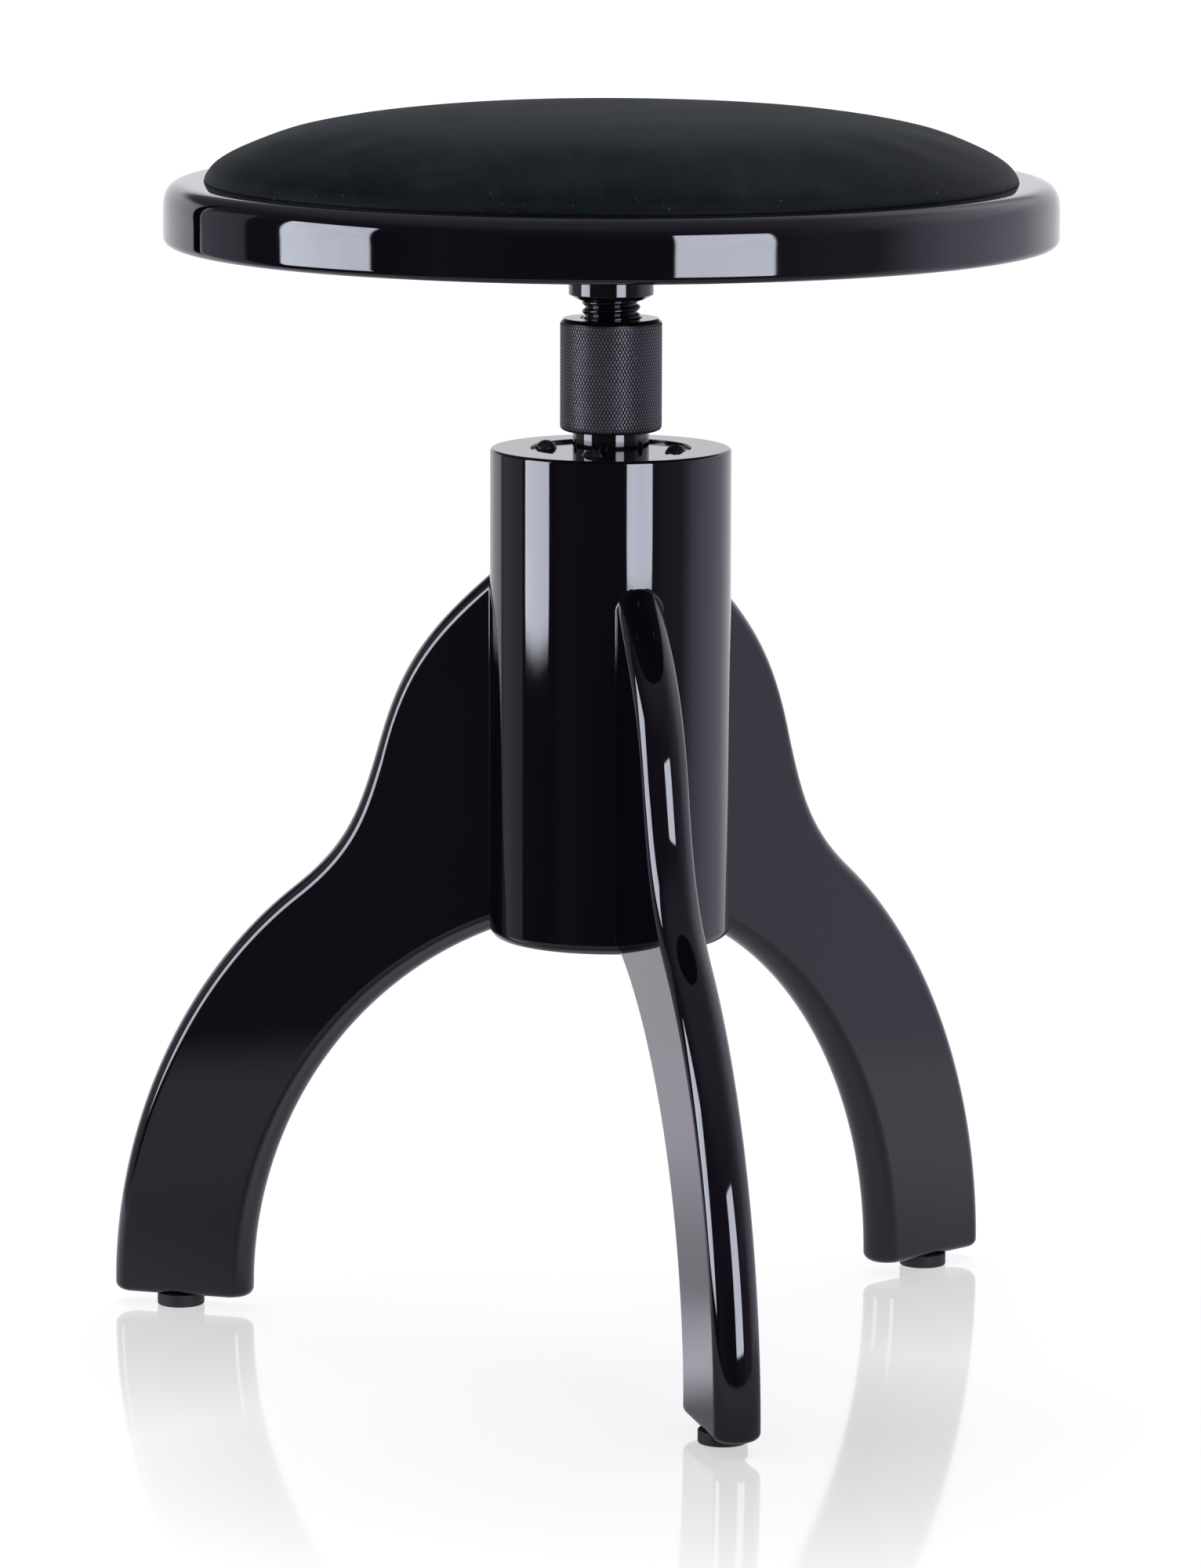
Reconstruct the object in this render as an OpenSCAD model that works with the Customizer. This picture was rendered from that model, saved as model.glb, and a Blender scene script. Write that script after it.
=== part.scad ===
// Round piano stool with three S-shaped legs, a turned column and a screw seat.
// Lengths are in millimetres. +Z is up and the floor is z = 0.
// The origin lies on the column's axis at floor level. The front leg points to -Y.
// The seat is drawn at its lowest setting, with the lock sleeve tightened.

/* [Column] */
// Diameter of the turned column
column_d = 95; // [90:1:110]
// Height of the column
column_h = 194.3; // [185:0.1:230]
// Height of the column's underside above the floor
column_lift = 162; // [150:0.5:190]
// Radius of the column's top edge
column_top_r = 3; // [1:0.5:5]
// Radius of the column's bottom edge
column_foot_r = 4; // [1:0.5:6]
// Depth of the column's blind bore below the end of the tube
bore_spare = 5; // [1:1:20]

/* [Legs] */
// Thickness of the board that the legs are cut from
leg_t = 18.3; // [16:0.1:20]
// Radius of the crowned middle of a leg's two edges
leg_crown_r = 13.3; // [11:0.1:18]
// Radius of the corners on both sides of a crowned edge
leg_corner_r = 4; // [2.5:0.1:6]
// Radius of the corners at the bottom of a leg
leg_foot_corner_r = 3.5; // [2:0.5:5]
// Height up the column at which a leg's outer edge leaves it
leg_top_up = 144.2; // [135:0.1:150]
// Height up the column at which a leg's underside leaves it
leg_under_up = 0; // [0:0.5:4]
// Distance from the axis to the outer edge of a foot
foot_reach = 208.3; // [200:0.1:230]
// Width of a leg at the foot, measured away from the axis
foot_w = 58; // [50:0.5:64]
// How far the shoulder of the S stands out from the column
shoulder_out = 46.9; // [42:0.1:52]
// How far the shoulder of the S lies below the leg's top
shoulder_down = 67.7; // [64:0.1:74]
// How far the waist of the S stands out from the column
waist_out = 83.8; // [78:0.1:88]
// How far the waist of the S lies below the leg's top
waist_down = 131; // [126:0.5:136]
// Slope of the outer edge at the column, in degrees below level
top_slope = 41.3; // [36:0.1:46]
// Slope of the outer edge at the shoulder, in degrees below level
shoulder_slope = 73.5; // [68:0.5:78]
// Slope of the outer edge at the waist, in degrees below level
waist_slope = 38.8; // [36:0.1:44]
// Slope of the underside at the column, in degrees below level
under_slope = 22; // [20:1:32]

/* [Feet and dowels] */
// Diameter of a foot pad
pad_d = 19; // [16:0.5:20]
// Height of a foot pad
pad_h = 5; // [4:0.5:8]
// Distance from the axis to the centre of a foot pad
pad_reach = 181; // [178:0.5:184]
// Diameter of the flat head of the pin that a foot pad is moulded round
pin_head_d = 10; // [8:0.5:12]
// Thickness of the pin's head
pin_head_t = 1; // [0.8:0.1:1.4]
// Thickness of the pad above the pin's head
pad_lip = 0.8; // [0.6:0.1:1.2]
// Diameter of the pin
pin_d = 3; // [2.5:0.1:4]
// How far the pin enters the leg
pin_grip = 18; // [12:1:24]
// Diameter of a leg dowel
dowel_d = 10; // [8:0.5:10]
// Length of a leg dowel
dowel_l = 36; // [30:1:40]
// Height of a leg's lower dowel above the column's underside
low_dowel_up = 36; // [30:1:45]
// Height of a leg's upper dowel above the column's underside
high_dowel_up = 104; // [90:1:108]

/* [Tube and flange] */
// Outer diameter of the guide tube
tube_d = 30; // [28:0.5:32]
// Wall of the guide tube
tube_wall = 1.5; // [1.2:0.1:1.6]
// How far the tube stands above the column
tube_proud = 27.7; // [26:0.1:34]
// Length of tube inside the column
tube_depth = 150; // [142:1:152]
// Diameter of the flange
flange_d = 62.2; // [60:0.1:70]
// Thickness of the flange, let into the column's top
flange_t = 4; // [3:0.5:6]
// How far the flange's face lies below the column's top
flange_sunk = 1.1; // [0.5:0.1:1.5]
// Open line around the flange
flange_gap = 0.4; // [0.3:0.1:0.8]
// Radius of the circle of flange screws
flange_screw_r = 26.5; // [24:0.5:28]
// Number of flange screws
flange_screws_n = 4; // [3:1:6]
// Angle of the first flange screw, counted from +X
flange_screw_angle = 60; // [0:5:90]
// Diameter of a flange screw's domed head
flange_screw_head_d = 8.6; // [7:0.1:9]
// Height of a flange screw's head
flange_screw_head_h = 3.2; // [2:0.1:3.5]
// Diameter of a flange screw's shank
flange_screw_d = 4; // [3.5:0.1:4.5]
// Length of a flange screw's shank below its head
flange_screw_l = 24; // [16:1:30]

/* [Screw spindle] */
// Outer diameter of the spindle's thread
spindle_d = 23; // [20:0.5:25]
// Pitch of the spindle's right-hand thread
spindle_pitch = 3.3; // [2:0.1:4]
// Turns from the lowest seat to the highest
seat_turns = 30; // [26:1:30]
// Length of the threaded nut in the tube's top
nut_l = 38; // [30:1:38]
// Diameter of the stop washer on the spindle's lower end
stop_d = 26.4; // [25.8:0.1:26.5]
// Thickness of the stop washer
stop_t = 3; // [2:0.5:4]
// Diameter of the screw that holds the stop washer
stop_screw_d = 6; // [5:0.5:8]
// Width across the corners of the stop screw's hexagonal head
stop_screw_head_d = 11; // [10:0.5:13]
// Height of the stop screw's head
stop_screw_head_h = 4; // [3:0.5:5]
// Length of the stop screw in the spindle
stop_screw_grip = 14; // [10:1:20]

/* [Lock sleeve] */
// Outer diameter of the knurled lock sleeve
sleeve_d = 40; // [38:0.5:44]
// Height of the lock sleeve
sleeve_h = 42.9; // [40:0.1:48]
// How far the tightened sleeve covers the tube
sleeve_cover = 19.5; // [16:0.5:24]
// Chamfer around the sleeve's top
sleeve_chamfer = 1.5; // [1:0.1:2.5]
// Radius of the sleeve's bottom edge
sleeve_foot_r = 2.5; // [1:0.1:3]
// Thickness of the clamp ring between the sleeve and the tube
clamp_t = 2; // [1.5:0.1:3]
// Free thread between the tightened sleeve and the hub at the lowest seat
free_thread = 7.4; // [7:0.1:12]
// Turns from the tightened sleeve to the loosened one
sleeve_turns = 1.5; // [1:0.5:1.5]

/* [Seat base] */
// Diameter of the turned seat base
seat_d = 350; // [345:1:380]
// Height of the seat base
seat_h = 24.2; // [20:0.1:28]
// How far the rounding of the seat base's top edge reaches inwards
seat_round_w = 10; // [6:0.5:11]
// How far the rounding of the seat base's top edge reaches down
seat_round_h = 12.6; // [8:0.1:14]
// Fullness of that rounding: 2 is an ellipse, and a larger value is squarer
seat_round_fullness = 3; // [2:0.1:4]
// Radius of the seat base's bottom edge
seat_foot_r = 3; // [2:0.5:6]
// Depth of the recess that takes the cushion
recess_depth = 10; // [7:0.5:11]
// Diameter of the hub below the seat
hub_d = 33.4; // [32:0.1:38]
// Height of the hub
hub_h = 19.2; // [16:0.1:24]
// Width of the chamfer around the hub's lower edge
hub_chamfer_w = 3.2; // [0.5:0.1:4]
// Height of the chamfer around the hub's lower edge
hub_chamfer_h = 1.9; // [0.5:0.1:3]
// Diameter of the steel seat plate
plate_d = 150; // [140:1:170]
// Thickness of the seat plate
plate_t = 3; // [2.5:0.5:5]
// Radius of the circle of seat plate screws
plate_screw_r = 62; // [55:1:64]
// Diameter of a wood screw's shank
wood_screw_d = 4.5; // [4:0.1:5]
// Diameter of a wood screw's domed head
wood_screw_head_d = 9; // [8:0.5:10]
// Height of a wood screw's head
wood_screw_head_h = 2.6; // [2:0.1:3]
// How far a seat plate screw enters the seat base
plate_screw_grip = 10; // [7:0.5:11]
// Radius of the circle of cushion screws
cushion_screw_r = 110; // [100:1:130]
// How far a cushion screw enters the cushion board
cushion_screw_grip = 6; // [4:0.5:7]
// Angle of the first cushion screw, counted from +X
cushion_screw_angle = 45; // [20:5:70]
// Number of screws in each circle under the seat
seat_screws_n = 4; // [3:1:8]

/* [Cushion] */
// How far the cushion's widest line stands in from the seat base's edge
cushion_margin = 15.5; // [13:0.5:20]
// Height of the cushion's crown above the seat base
cushion_crown = 28.8; // [24:0.1:45]
// How far the cushion's side draws in where it meets the seat base
cushion_tuck = 1; // [0.5:0.1:3]
// Height of the cushion's widest line above the seat base
cushion_widest = 1; // [0.5:0.5:6]
// Fullness of the crown: a larger value gives a flatter top and a squarer side
cushion_fullness = 2.5; // [2:0.1:3]
// Thickness of the velour cover
cover_t = 1.2; // [0.8:0.1:1.6]
// Width of the hem turned under the cushion board
hem_w = 22; // [16:1:30]
// Thickness of the cushion board
board_t = 9; // [8:0.5:12]

/* [Fits] */
// Gap where parts are glued, pressed or welded together
fixed_fit = 0.1; // [0.05:0.05:0.15]
// Gap around the thread and between parts that turn or slide
moving_fit = 0.3; // [0.25:0.05:0.35]
// Gap around soft parts
soft_fit = 0.3; // [0.2:0.1:0.5]

/* [Hidden] */
$fn = 96;

lacquer = "#0c0c0e";
bare_wood = "#c9a877";
steel = "#b9bcc0";
black_steel = "#17181a";
rubber = "#141414";
velour = "#10201c";

front_a = -90;
right_a = 30;
left_a = 150;
leg_angles = [front_a, right_a, left_a];

column_r = column_d / 2;
column_top = column_lift + column_h;
flange_top = column_top - flange_sunk;
flange_z = flange_top - flange_t;
tube_top = column_top + tube_proud;
tube_bottom = column_top - tube_depth;
bore_bottom = tube_bottom - bore_spare;
tube_bore_d = tube_d - 2 * tube_wall;
nut_bottom = tube_top - nut_l;

seat_rise = seat_turns * spindle_pitch;
sleeve_rise = sleeve_turns * spindle_pitch;
sleeve_bottom = tube_top - sleeve_cover;
sleeve_top = sleeve_bottom + sleeve_h;
hub_bottom = sleeve_top + free_thread;
plate_bottom = hub_bottom + hub_h;
seat_bottom = plate_bottom + plate_t;
seat_top = seat_bottom + seat_h;
recess_floor = seat_top - recess_depth;

stop_top = nut_bottom - seat_rise - moving_fit;
spindle_bottom = stop_top + fixed_fit;
spindle_l = seat_bottom - spindle_bottom;
stop_screw_reach = stop_t + 2 * fixed_fit + stop_screw_grip;

leg_top = column_lift + leg_top_up;
leg_under = column_lift + leg_under_up;
leg_bottom = pad_h;
pin_head_z = pad_h - pad_lip - pin_head_t;

cushion_r = seat_d / 2 - cushion_margin;
cushion_foot_r = cushion_r - cushion_tuck;
recess_r = cushion_foot_r + soft_fit;
board_r = cushion_foot_r - cover_t - soft_fit;
board_bottom = recess_floor + soft_fit + cover_t + soft_fit;
board_top = board_bottom + board_t;

echo(lowest_seat_height = seat_top + cushion_crown, seat_rise = seat_rise);

// The point at a distance from p along a direction given in degrees below level.
function ahead(p, slope, distance) = p + distance * [cos(slope), -sin(slope)];

// Points of an arc around a centre, from angle a0 to a1 in n steps.
function arc(centre, r, a0, a1, n) =
    [for (i = [0:n]) let (a = a0 + (a1 - a0) * i / n) centre + r * [cos(a), sin(a)]];

// Control points of a cubic curve that leaves p at one slope and reaches q at another.
function sweep_between(p, p_slope, q, q_slope, pull) =
    let (reach = pull * norm(q - p))
    [p, ahead(p, p_slope, reach), ahead(q, q_slope, -reach), q];

// The point at share t of a cubic curve, and the curve's direction there.
function curve_point(c, t) =
    pow(1 - t, 3) * c[0] + 3 * t * pow(1 - t, 2) * c[1] + 3 * t * t * (1 - t) * c[2] + pow(t, 3) * c[3];
function curve_heading(c, t) =
    let (v = pow(1 - t, 2) * (c[1] - c[0]) + 2 * t * (1 - t) * (c[2] - c[1]) + t * t * (c[3] - c[2]))
    v / norm(v);

// Outline of a leg, seen from its side: x is the distance from the axis, y the height.
// The outer edge runs from the column over a shoulder and a waist to the foot.
shoulder = [column_r + shoulder_out, leg_top - shoulder_down];
waist = [column_r + waist_out, leg_top - waist_down];
foot_round = min(leg_foot_corner_r, leg_corner_r - 0.5);
foot_outer = [foot_reach, leg_bottom + foot_round];
foot_inner = [foot_reach - foot_w, leg_bottom + foot_round];
outer_curves = [
    sweep_between([column_r, leg_top], top_slope, shoulder, shoulder_slope, 0.40),
    sweep_between(shoulder, shoulder_slope, waist, waist_slope, 0.42),
    sweep_between(waist, waist_slope, foot_outer, 90, 0.34)
];
under_curve = sweep_between([column_r, leg_under], under_slope, foot_inner, 90, 0.36);

// Each outer curve is paired with a stretch of the underside, in equal steps of both.
outer_steps = [7, 8, 14];
under_from = [0, 0.10, 0.32];
under_to = [0.10, 0.32, 1];

// A station of the leg: an outer point, an underside point, and how much longer
// than square-on each edge's rounding is when measured between the two points.
function station(k, t) =
    let (
        s = under_from[k] + (under_to[k] - under_from[k]) * t,
        p = curve_point(outer_curves[k], t),
        q = curve_point(under_curve, s),
        u = (q - p) / norm(q - p),
        p_way = curve_heading(outer_curves[k], t),
        q_way = curve_heading(under_curve, s)
    )
    [p, q, 1 / abs(cross(u, p_way)), 1 / abs(cross(u, q_way))];

// A station shifted along the edges' slopes into the column, where its curve is cut.
function tail_station(s, distance) =
    [ahead(s[0], top_slope, -distance), ahead(s[1], under_slope, -distance), s[2], s[3]];

// A leg's edge is crowned: a wide arc across its middle and a corner on each side.
// These are the directions, out from the edge's middle, of the points that draw it.
crown_a = asin((leg_t / 2 - leg_corner_r) / (leg_crown_r - leg_corner_r));
edge_angles = concat(
    [for (i = [0:2]) crown_a * i / 2],
    [for (i = [1:3]) crown_a + (90 - crown_a) * i / 3]
);

// A point of the crowned edge, drawn in by trim: how far it lies from the board's
// middle plane, and how deep below the edge's highest line.
function edge_point(a, trim) =
    let (
        crown = leg_crown_r - trim,
        corner = leg_corner_r - trim,
        inner = min(a, crown_a)
    )
    [
        crown * sin(inner) + corner * (sin(a) - sin(inner)),
        crown * (1 - cos(inner)) + corner * (cos(inner) - cos(a)) + trim
    ];

// The cross-section of a leg at a station, drawn in by trim all round.
function section(s, trim = 0) =
    let (
        u = (s[1] - s[0]) / norm(s[1] - s[0]),
        outer = [for (a = edge_angles) let (e = edge_point(a, trim)) [s[0] + e.y * s[2] * u, e.x]],
        under = [for (a = edge_angles) let (e = edge_point(a, trim)) [s[1] - e.y * s[3] * u, e.x]]
    )
    concat(
        [for (c = [each outer, each reverse_list(under)]) [c[0].x, c[1], c[0].y]],
        [for (c = [each tail_of(under), each reverse_list(tail_of(outer))]) [c[0].x, -c[1], c[0].y]]
    );
function tail_of(list) = [for (i = [1:len(list) - 1]) list[i]];
function reverse_list(list) = [for (i = [len(list) - 1:-1:0]) list[i]];

function dropped(s, distance) = [s[0] - [0, distance], s[1] - [0, distance], s[2], s[3]];
leg_sections = concat(
    [section(tail_station(station(0, 0), leg_t))],
    [for (k = [0:2]) for (i = [0:outer_steps[k] - 1]) section(station(k, i / outer_steps[k]))],
    [for (i = [0:4]) let (a = 90 * i / 4)
        section(dropped(station(2, 1), foot_round * sin(a)), foot_round * (1 - cos(a)))]
);

// Joins equal rings of points into one closed solid of triangles.
module loft(rings) {
    n = len(rings[0]);
    last = len(rings) - 1;
    sides = [
        for (k = [0:last - 1])
        for (i = [0:n - 1])
        let (a = k * n + i, b = k * n + (i + 1) % n)
        each [[a, b, a + n], [b, b + n, a + n]]
    ];
    caps = [
        for (i = [1:n - 2])
        each [[0, i + 1, i], [last * n, last * n + i, last * n + i + 1]]
    ];
    polyhedron(points = [for (ring = rings) each ring], faces = concat(sides, caps), convexity = 6);
}

// Copies the children to equal steps around the axis, at a radius.
module around(n, r, first = 0) {
    for (i = [0:n - 1]) rotate([0, 0, first + 360 * i / n]) translate([r, 0, 0]) children();
}

// A revolved ring with a rectangular wall.
module ring(d, bore, h) {
    difference() {
        cylinder(d = d, h = h);
        translate([0, 0, -1]) cylinder(d = bore, h = h + 2);
    }
}

// A screw with a domed head below z = 0 and its point upwards.
module screw(d, grip, head_d, head_h) {
    tip = d;
    dome_r = (head_d * head_d / 4 + head_h * head_h) / (2 * head_h);
    dome_a = acos(1 - head_h / dome_r);
    rotate_extrude() polygon(concat(
        arc([0, dome_r - head_h], dome_r, -90, dome_a - 90, 6),
        [[d / 2, 0], [d / 2, grip - tip], [0, grip]]
    ));
}

// The pegs across each leg's seam with the column, larger by grow for their holes.
module dowels(angles, grow = 0) {
    for (a = angles) for (up = [low_dowel_up, high_dowel_up])
        rotate([0, 0, a]) translate([column_r - dowel_l / 2 - grow, 0, column_lift + up])
            rotate([0, 90, 0]) cylinder(d = dowel_d + 2 * grow, h = dowel_l + 2 * grow);
}

// A leg pointing along +X, cut to the column's curve at its inner end.
module leg_board() {
    difference() {
        loft(leg_sections);
        translate([0, 0, column_lift - leg_t])
            cylinder(d = column_d + 2 * fixed_fit, h = leg_top_up + 3 * leg_t);
        dowels([0], fixed_fit);
        translate([pad_reach, 0, leg_bottom - 1])
            cylinder(d = pin_d + 2 * fixed_fit, h = pin_grip + 1 + fixed_fit);
    }
}

// A foot pad on the +X side, hollow where its pin's head lies in it.
module foot_pad() {
    translate([pad_reach, 0, 0]) difference() {
        cylinder(d = pad_d, h = pad_h);
        translate([0, 0, pin_head_z]) cylinder(d = pin_d + 2 * fixed_fit, h = pad_h);
        translate([0, 0, pin_head_z - fixed_fit])
            cylinder(d = pin_head_d + 2 * fixed_fit, h = pin_head_t + 2 * fixed_fit);
    }
}

module column() {
    color(lacquer) difference() {
        rotate_extrude() polygon(concat(
            [[0, column_lift]],
            arc([column_r - column_foot_r, column_lift + column_foot_r], column_foot_r, -90, 0, 8),
            arc([column_r - column_top_r, column_top - column_top_r], column_top_r, 0, 90, 8),
            [[0, column_top]]
        ));
        translate([0, 0, bore_bottom]) cylinder(d = tube_d + 2 * fixed_fit, h = column_h);
        translate([0, 0, flange_z]) cylinder(d = flange_d + 2 * flange_gap, h = column_h);
        dowels(leg_angles, fixed_fit);
        translate([0, 0, flange_z]) around(flange_screws_n, flange_screw_r, flange_screw_angle)
            mirror([0, 0, 1])
                cylinder(d = flange_screw_d + 2 * fixed_fit, h = flange_screw_l - flange_t + fixed_fit);
    }
}

module front_leg() { color(lacquer) rotate([0, 0, front_a]) leg_board(); }
module right_leg() { color(lacquer) rotate([0, 0, right_a]) leg_board(); }
module left_leg() { color(lacquer) rotate([0, 0, left_a]) leg_board(); }

module leg_dowels() { color(bare_wood) dowels(leg_angles); }

module front_foot() { color(rubber) rotate([0, 0, front_a]) foot_pad(); }
module right_foot() { color(rubber) rotate([0, 0, right_a]) foot_pad(); }
module left_foot() { color(rubber) rotate([0, 0, left_a]) foot_pad(); }

module foot_pins() {
    pin_l = pad_h - pin_head_z + pin_grip;
    color(steel) for (a = leg_angles) rotate([0, 0, a]) translate([pad_reach, 0, pin_head_z])
        rotate_extrude() polygon([
            [0, 0], [pin_head_d / 2, 0], [pin_head_d / 2, pin_head_t], [pin_d / 2, pin_head_t],
            [pin_d / 2, pin_l - pin_d], [0, pin_l]
        ]);
}

module guide_tube() {
    color(black_steel) translate([0, 0, tube_bottom]) ring(tube_d, tube_bore_d, tube_top - tube_bottom);
}

module spindle_nut() {
    color(steel) translate([0, 0, nut_bottom])
        ring(tube_bore_d - 2 * fixed_fit, spindle_d + 2 * moving_fit, nut_l);
}

module tube_flange() {
    color(black_steel) translate([0, 0, flange_z]) difference() {
        ring(flange_d, tube_d + 2 * fixed_fit, flange_t);
        translate([0, 0, -1]) around(flange_screws_n, flange_screw_r, flange_screw_angle)
            cylinder(d = flange_screw_d + 2 * fixed_fit, h = flange_t + 2);
    }
}

module flange_screws() {
    color(black_steel) translate([0, 0, flange_top])
        around(flange_screws_n, flange_screw_r, flange_screw_angle) mirror([0, 0, 1])
            screw(flange_screw_d, flange_screw_l, flange_screw_head_d, flange_screw_head_h);
}

module clamp_ring() {
    color(steel) translate([0, 0, tube_top]) ring(tube_d, spindle_d + 2 * moving_fit, clamp_t);
}

module lock_sleeve() {
    color("#26272a") difference() {
        rotate_extrude() polygon(concat(
            [[0, sleeve_bottom]],
            arc([sleeve_d / 2 - sleeve_foot_r, sleeve_bottom + sleeve_foot_r], sleeve_foot_r, -90, 0, 6),
            [[sleeve_d / 2, sleeve_top - sleeve_chamfer], [sleeve_d / 2 - sleeve_chamfer, sleeve_top],
             [0, sleeve_top]]
        ));
        translate([0, 0, sleeve_bottom - 1]) cylinder(d = spindle_d + 2 * moving_fit, h = sleeve_h + 2);
        translate([0, 0, sleeve_bottom - 1])
            cylinder(d = tube_d + 2 * moving_fit, h = 1 + sleeve_cover + clamp_t);
    }
}

module stop_washer() {
    color(steel) translate([0, 0, stop_top - stop_t]) ring(stop_d, stop_screw_d + 2 * moving_fit, stop_t);
}

module stop_screw() {
    head_top = stop_top - stop_t - fixed_fit;
    color(steel) union() {
        translate([0, 0, head_top - stop_screw_head_h])
            cylinder(d = stop_screw_head_d, h = stop_screw_head_h, $fn = 6);
        translate([0, 0, head_top - 1]) cylinder(d = stop_screw_d, h = stop_screw_reach + 1);
    }
}

module spindle() {
    color(black_steel) translate([0, 0, spindle_bottom]) difference() {
        cylinder(d = spindle_d, h = spindle_l);
        translate([0, 0, -1]) cylinder(d = stop_screw_d + 2 * fixed_fit, h = 1 + stop_screw_grip + 1);
    }
}

module spindle_hub() {
    color(black_steel) difference() {
        rotate_extrude() polygon([
            [0, hub_bottom], [hub_d / 2 - hub_chamfer_w, hub_bottom],
            [hub_d / 2, hub_bottom + hub_chamfer_h], [hub_d / 2, plate_bottom], [0, plate_bottom]
        ]);
        translate([0, 0, hub_bottom - 1]) cylinder(d = spindle_d + 2 * fixed_fit, h = hub_h + 2);
    }
}

module seat_plate() {
    color(black_steel) translate([0, 0, plate_bottom]) difference() {
        ring(plate_d, spindle_d + 2 * fixed_fit, plate_t);
        translate([0, 0, -1]) around(seat_screws_n, plate_screw_r)
            cylinder(d = wood_screw_d + 2 * fixed_fit, h = plate_t + 2);
    }
}

module plate_screws() {
    color(steel) translate([0, 0, plate_bottom]) around(seat_screws_n, plate_screw_r)
        screw(wood_screw_d, plate_t + plate_screw_grip, wood_screw_head_d, wood_screw_head_h);
}

// The domed top edge of the seat base, from its side up to its top.
function seat_rounding(n = 10) =
    let (power = 2 / seat_round_fullness)
    [for (i = [0:n]) let (a = 90 * i / n) [
        seat_d / 2 - seat_round_w * (1 - pow(cos(a), power)),
        seat_top - seat_round_h * (1 - pow(sin(a), power))
    ]];

module seat_base() {
    color(lacquer) difference() {
        rotate_extrude() polygon(concat(
            [[0, seat_bottom]],
            arc([seat_d / 2 - seat_foot_r, seat_bottom + seat_foot_r], seat_foot_r, -90, 0, 8),
            seat_rounding(),
            [[recess_r, seat_top], [recess_r, recess_floor], [0, recess_floor]]
        ));
        translate([0, 0, seat_bottom - 1]) around(seat_screws_n, plate_screw_r)
            cylinder(d = wood_screw_d + 2 * fixed_fit, h = 1 + plate_screw_grip + fixed_fit);
        translate([0, 0, seat_bottom - 1]) around(seat_screws_n, cushion_screw_r, cushion_screw_angle)
            cylinder(d = wood_screw_d + 2 * fixed_fit, h = seat_h);
    }
}

module cushion_screws() {
    color(steel) translate([0, 0, seat_bottom]) around(seat_screws_n, cushion_screw_r, cushion_screw_angle)
        screw(wood_screw_d, board_bottom - seat_bottom + cushion_screw_grip, wood_screw_head_d,
            wood_screw_head_h);
}

module cushion_board() {
    color(bare_wood) translate([0, 0, board_bottom]) difference() {
        cylinder(r = board_r, h = board_t);
        translate([0, 0, -1]) around(seat_screws_n, cushion_screw_r, cushion_screw_angle)
            cylinder(d = wood_screw_d + 2 * fixed_fit, h = 1 + cushion_screw_grip + fixed_fit);
    }
}

// The cushion's crown and drawn-in side, from the axis down to the seat base's top,
// with everything moved inwards by inset.
function cushion_outline(inset, n = 20) =
    let (r = cushion_r - inset, rise = cushion_crown - cushion_widest - inset)
    concat(
        [for (i = [0:n]) let (share = sin(90 * i / n))
            [r * share, seat_top + cushion_widest + rise * sqrt(max(0, 1 - pow(share, cushion_fullness)))]],
        [for (i = [1:4]) let (a = 90 * i / 4)
            [r - cushion_tuck * (1 - cos(a)), seat_top + cushion_widest * (1 - sin(a))]]
    );

module cushion_foam() {
    inset = cover_t + soft_fit;
    side = cushion_outline(inset);
    color("#d8cfa6") rotate_extrude() polygon(concat(
        [for (p = side) if (p.y > board_top + soft_fit) p],
        [[board_r, board_top + soft_fit], [0, board_top + soft_fit]]
    ));
}

module cushion_cover() {
    hem = recess_floor + soft_fit;
    color(velour) rotate_extrude() polygon(concat(
        cushion_outline(0),
        [
            [cushion_foot_r, hem], [cushion_foot_r - hem_w, hem],
            [cushion_foot_r - hem_w, hem + cover_t], [cushion_foot_r - cover_t, hem + cover_t]
        ],
        reverse_list(cushion_outline(cover_t))
    ));
}

column();
front_leg();
right_leg();
left_leg();
leg_dowels();
front_foot();
right_foot();
left_foot();
foot_pins();
guide_tube();
spindle_nut();
tube_flange();
flange_screws();
clamp_ring();
lock_sleeve();
stop_washer();
stop_screw();
spindle();
spindle_hub();
seat_plate();
plate_screws();
seat_base();
cushion_screws();
cushion_board();
cushion_foam();
cushion_cover();
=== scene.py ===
"""Looks of a round piano stool: fine meshes, finishes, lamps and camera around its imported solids."""
import logging
import math
from collections.abc import Iterable, Sequence
from dataclasses import dataclass
from enum import Enum

import bmesh
import bpy
import numpy as np
from mathutils import Matrix, Vector
from mathutils.kdtree import KDTree


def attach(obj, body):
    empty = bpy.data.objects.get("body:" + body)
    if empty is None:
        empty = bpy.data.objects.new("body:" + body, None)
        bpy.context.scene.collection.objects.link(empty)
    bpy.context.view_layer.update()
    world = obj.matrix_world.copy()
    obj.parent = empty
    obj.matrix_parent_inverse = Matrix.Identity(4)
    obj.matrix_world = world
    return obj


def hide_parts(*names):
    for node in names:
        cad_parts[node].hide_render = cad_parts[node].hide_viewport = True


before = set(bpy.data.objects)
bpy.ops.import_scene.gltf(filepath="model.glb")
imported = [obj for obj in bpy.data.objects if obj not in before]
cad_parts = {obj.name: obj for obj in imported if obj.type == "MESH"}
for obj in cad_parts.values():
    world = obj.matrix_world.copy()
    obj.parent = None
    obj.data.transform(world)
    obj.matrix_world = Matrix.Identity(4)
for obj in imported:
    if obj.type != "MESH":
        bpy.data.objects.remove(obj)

log = logging.getLogger("piano_stool")
MM = 0.001
# A point nearer the axis than this, in millimetres, lies on it.
ON_AXIS = 1e-6
LEG_ANGLES = {"front": -90.0, "right": 30.0, "left": 150.0}
Triple = tuple[float, float, float]
Colour = Triple
Point = tuple[float, float]
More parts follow.
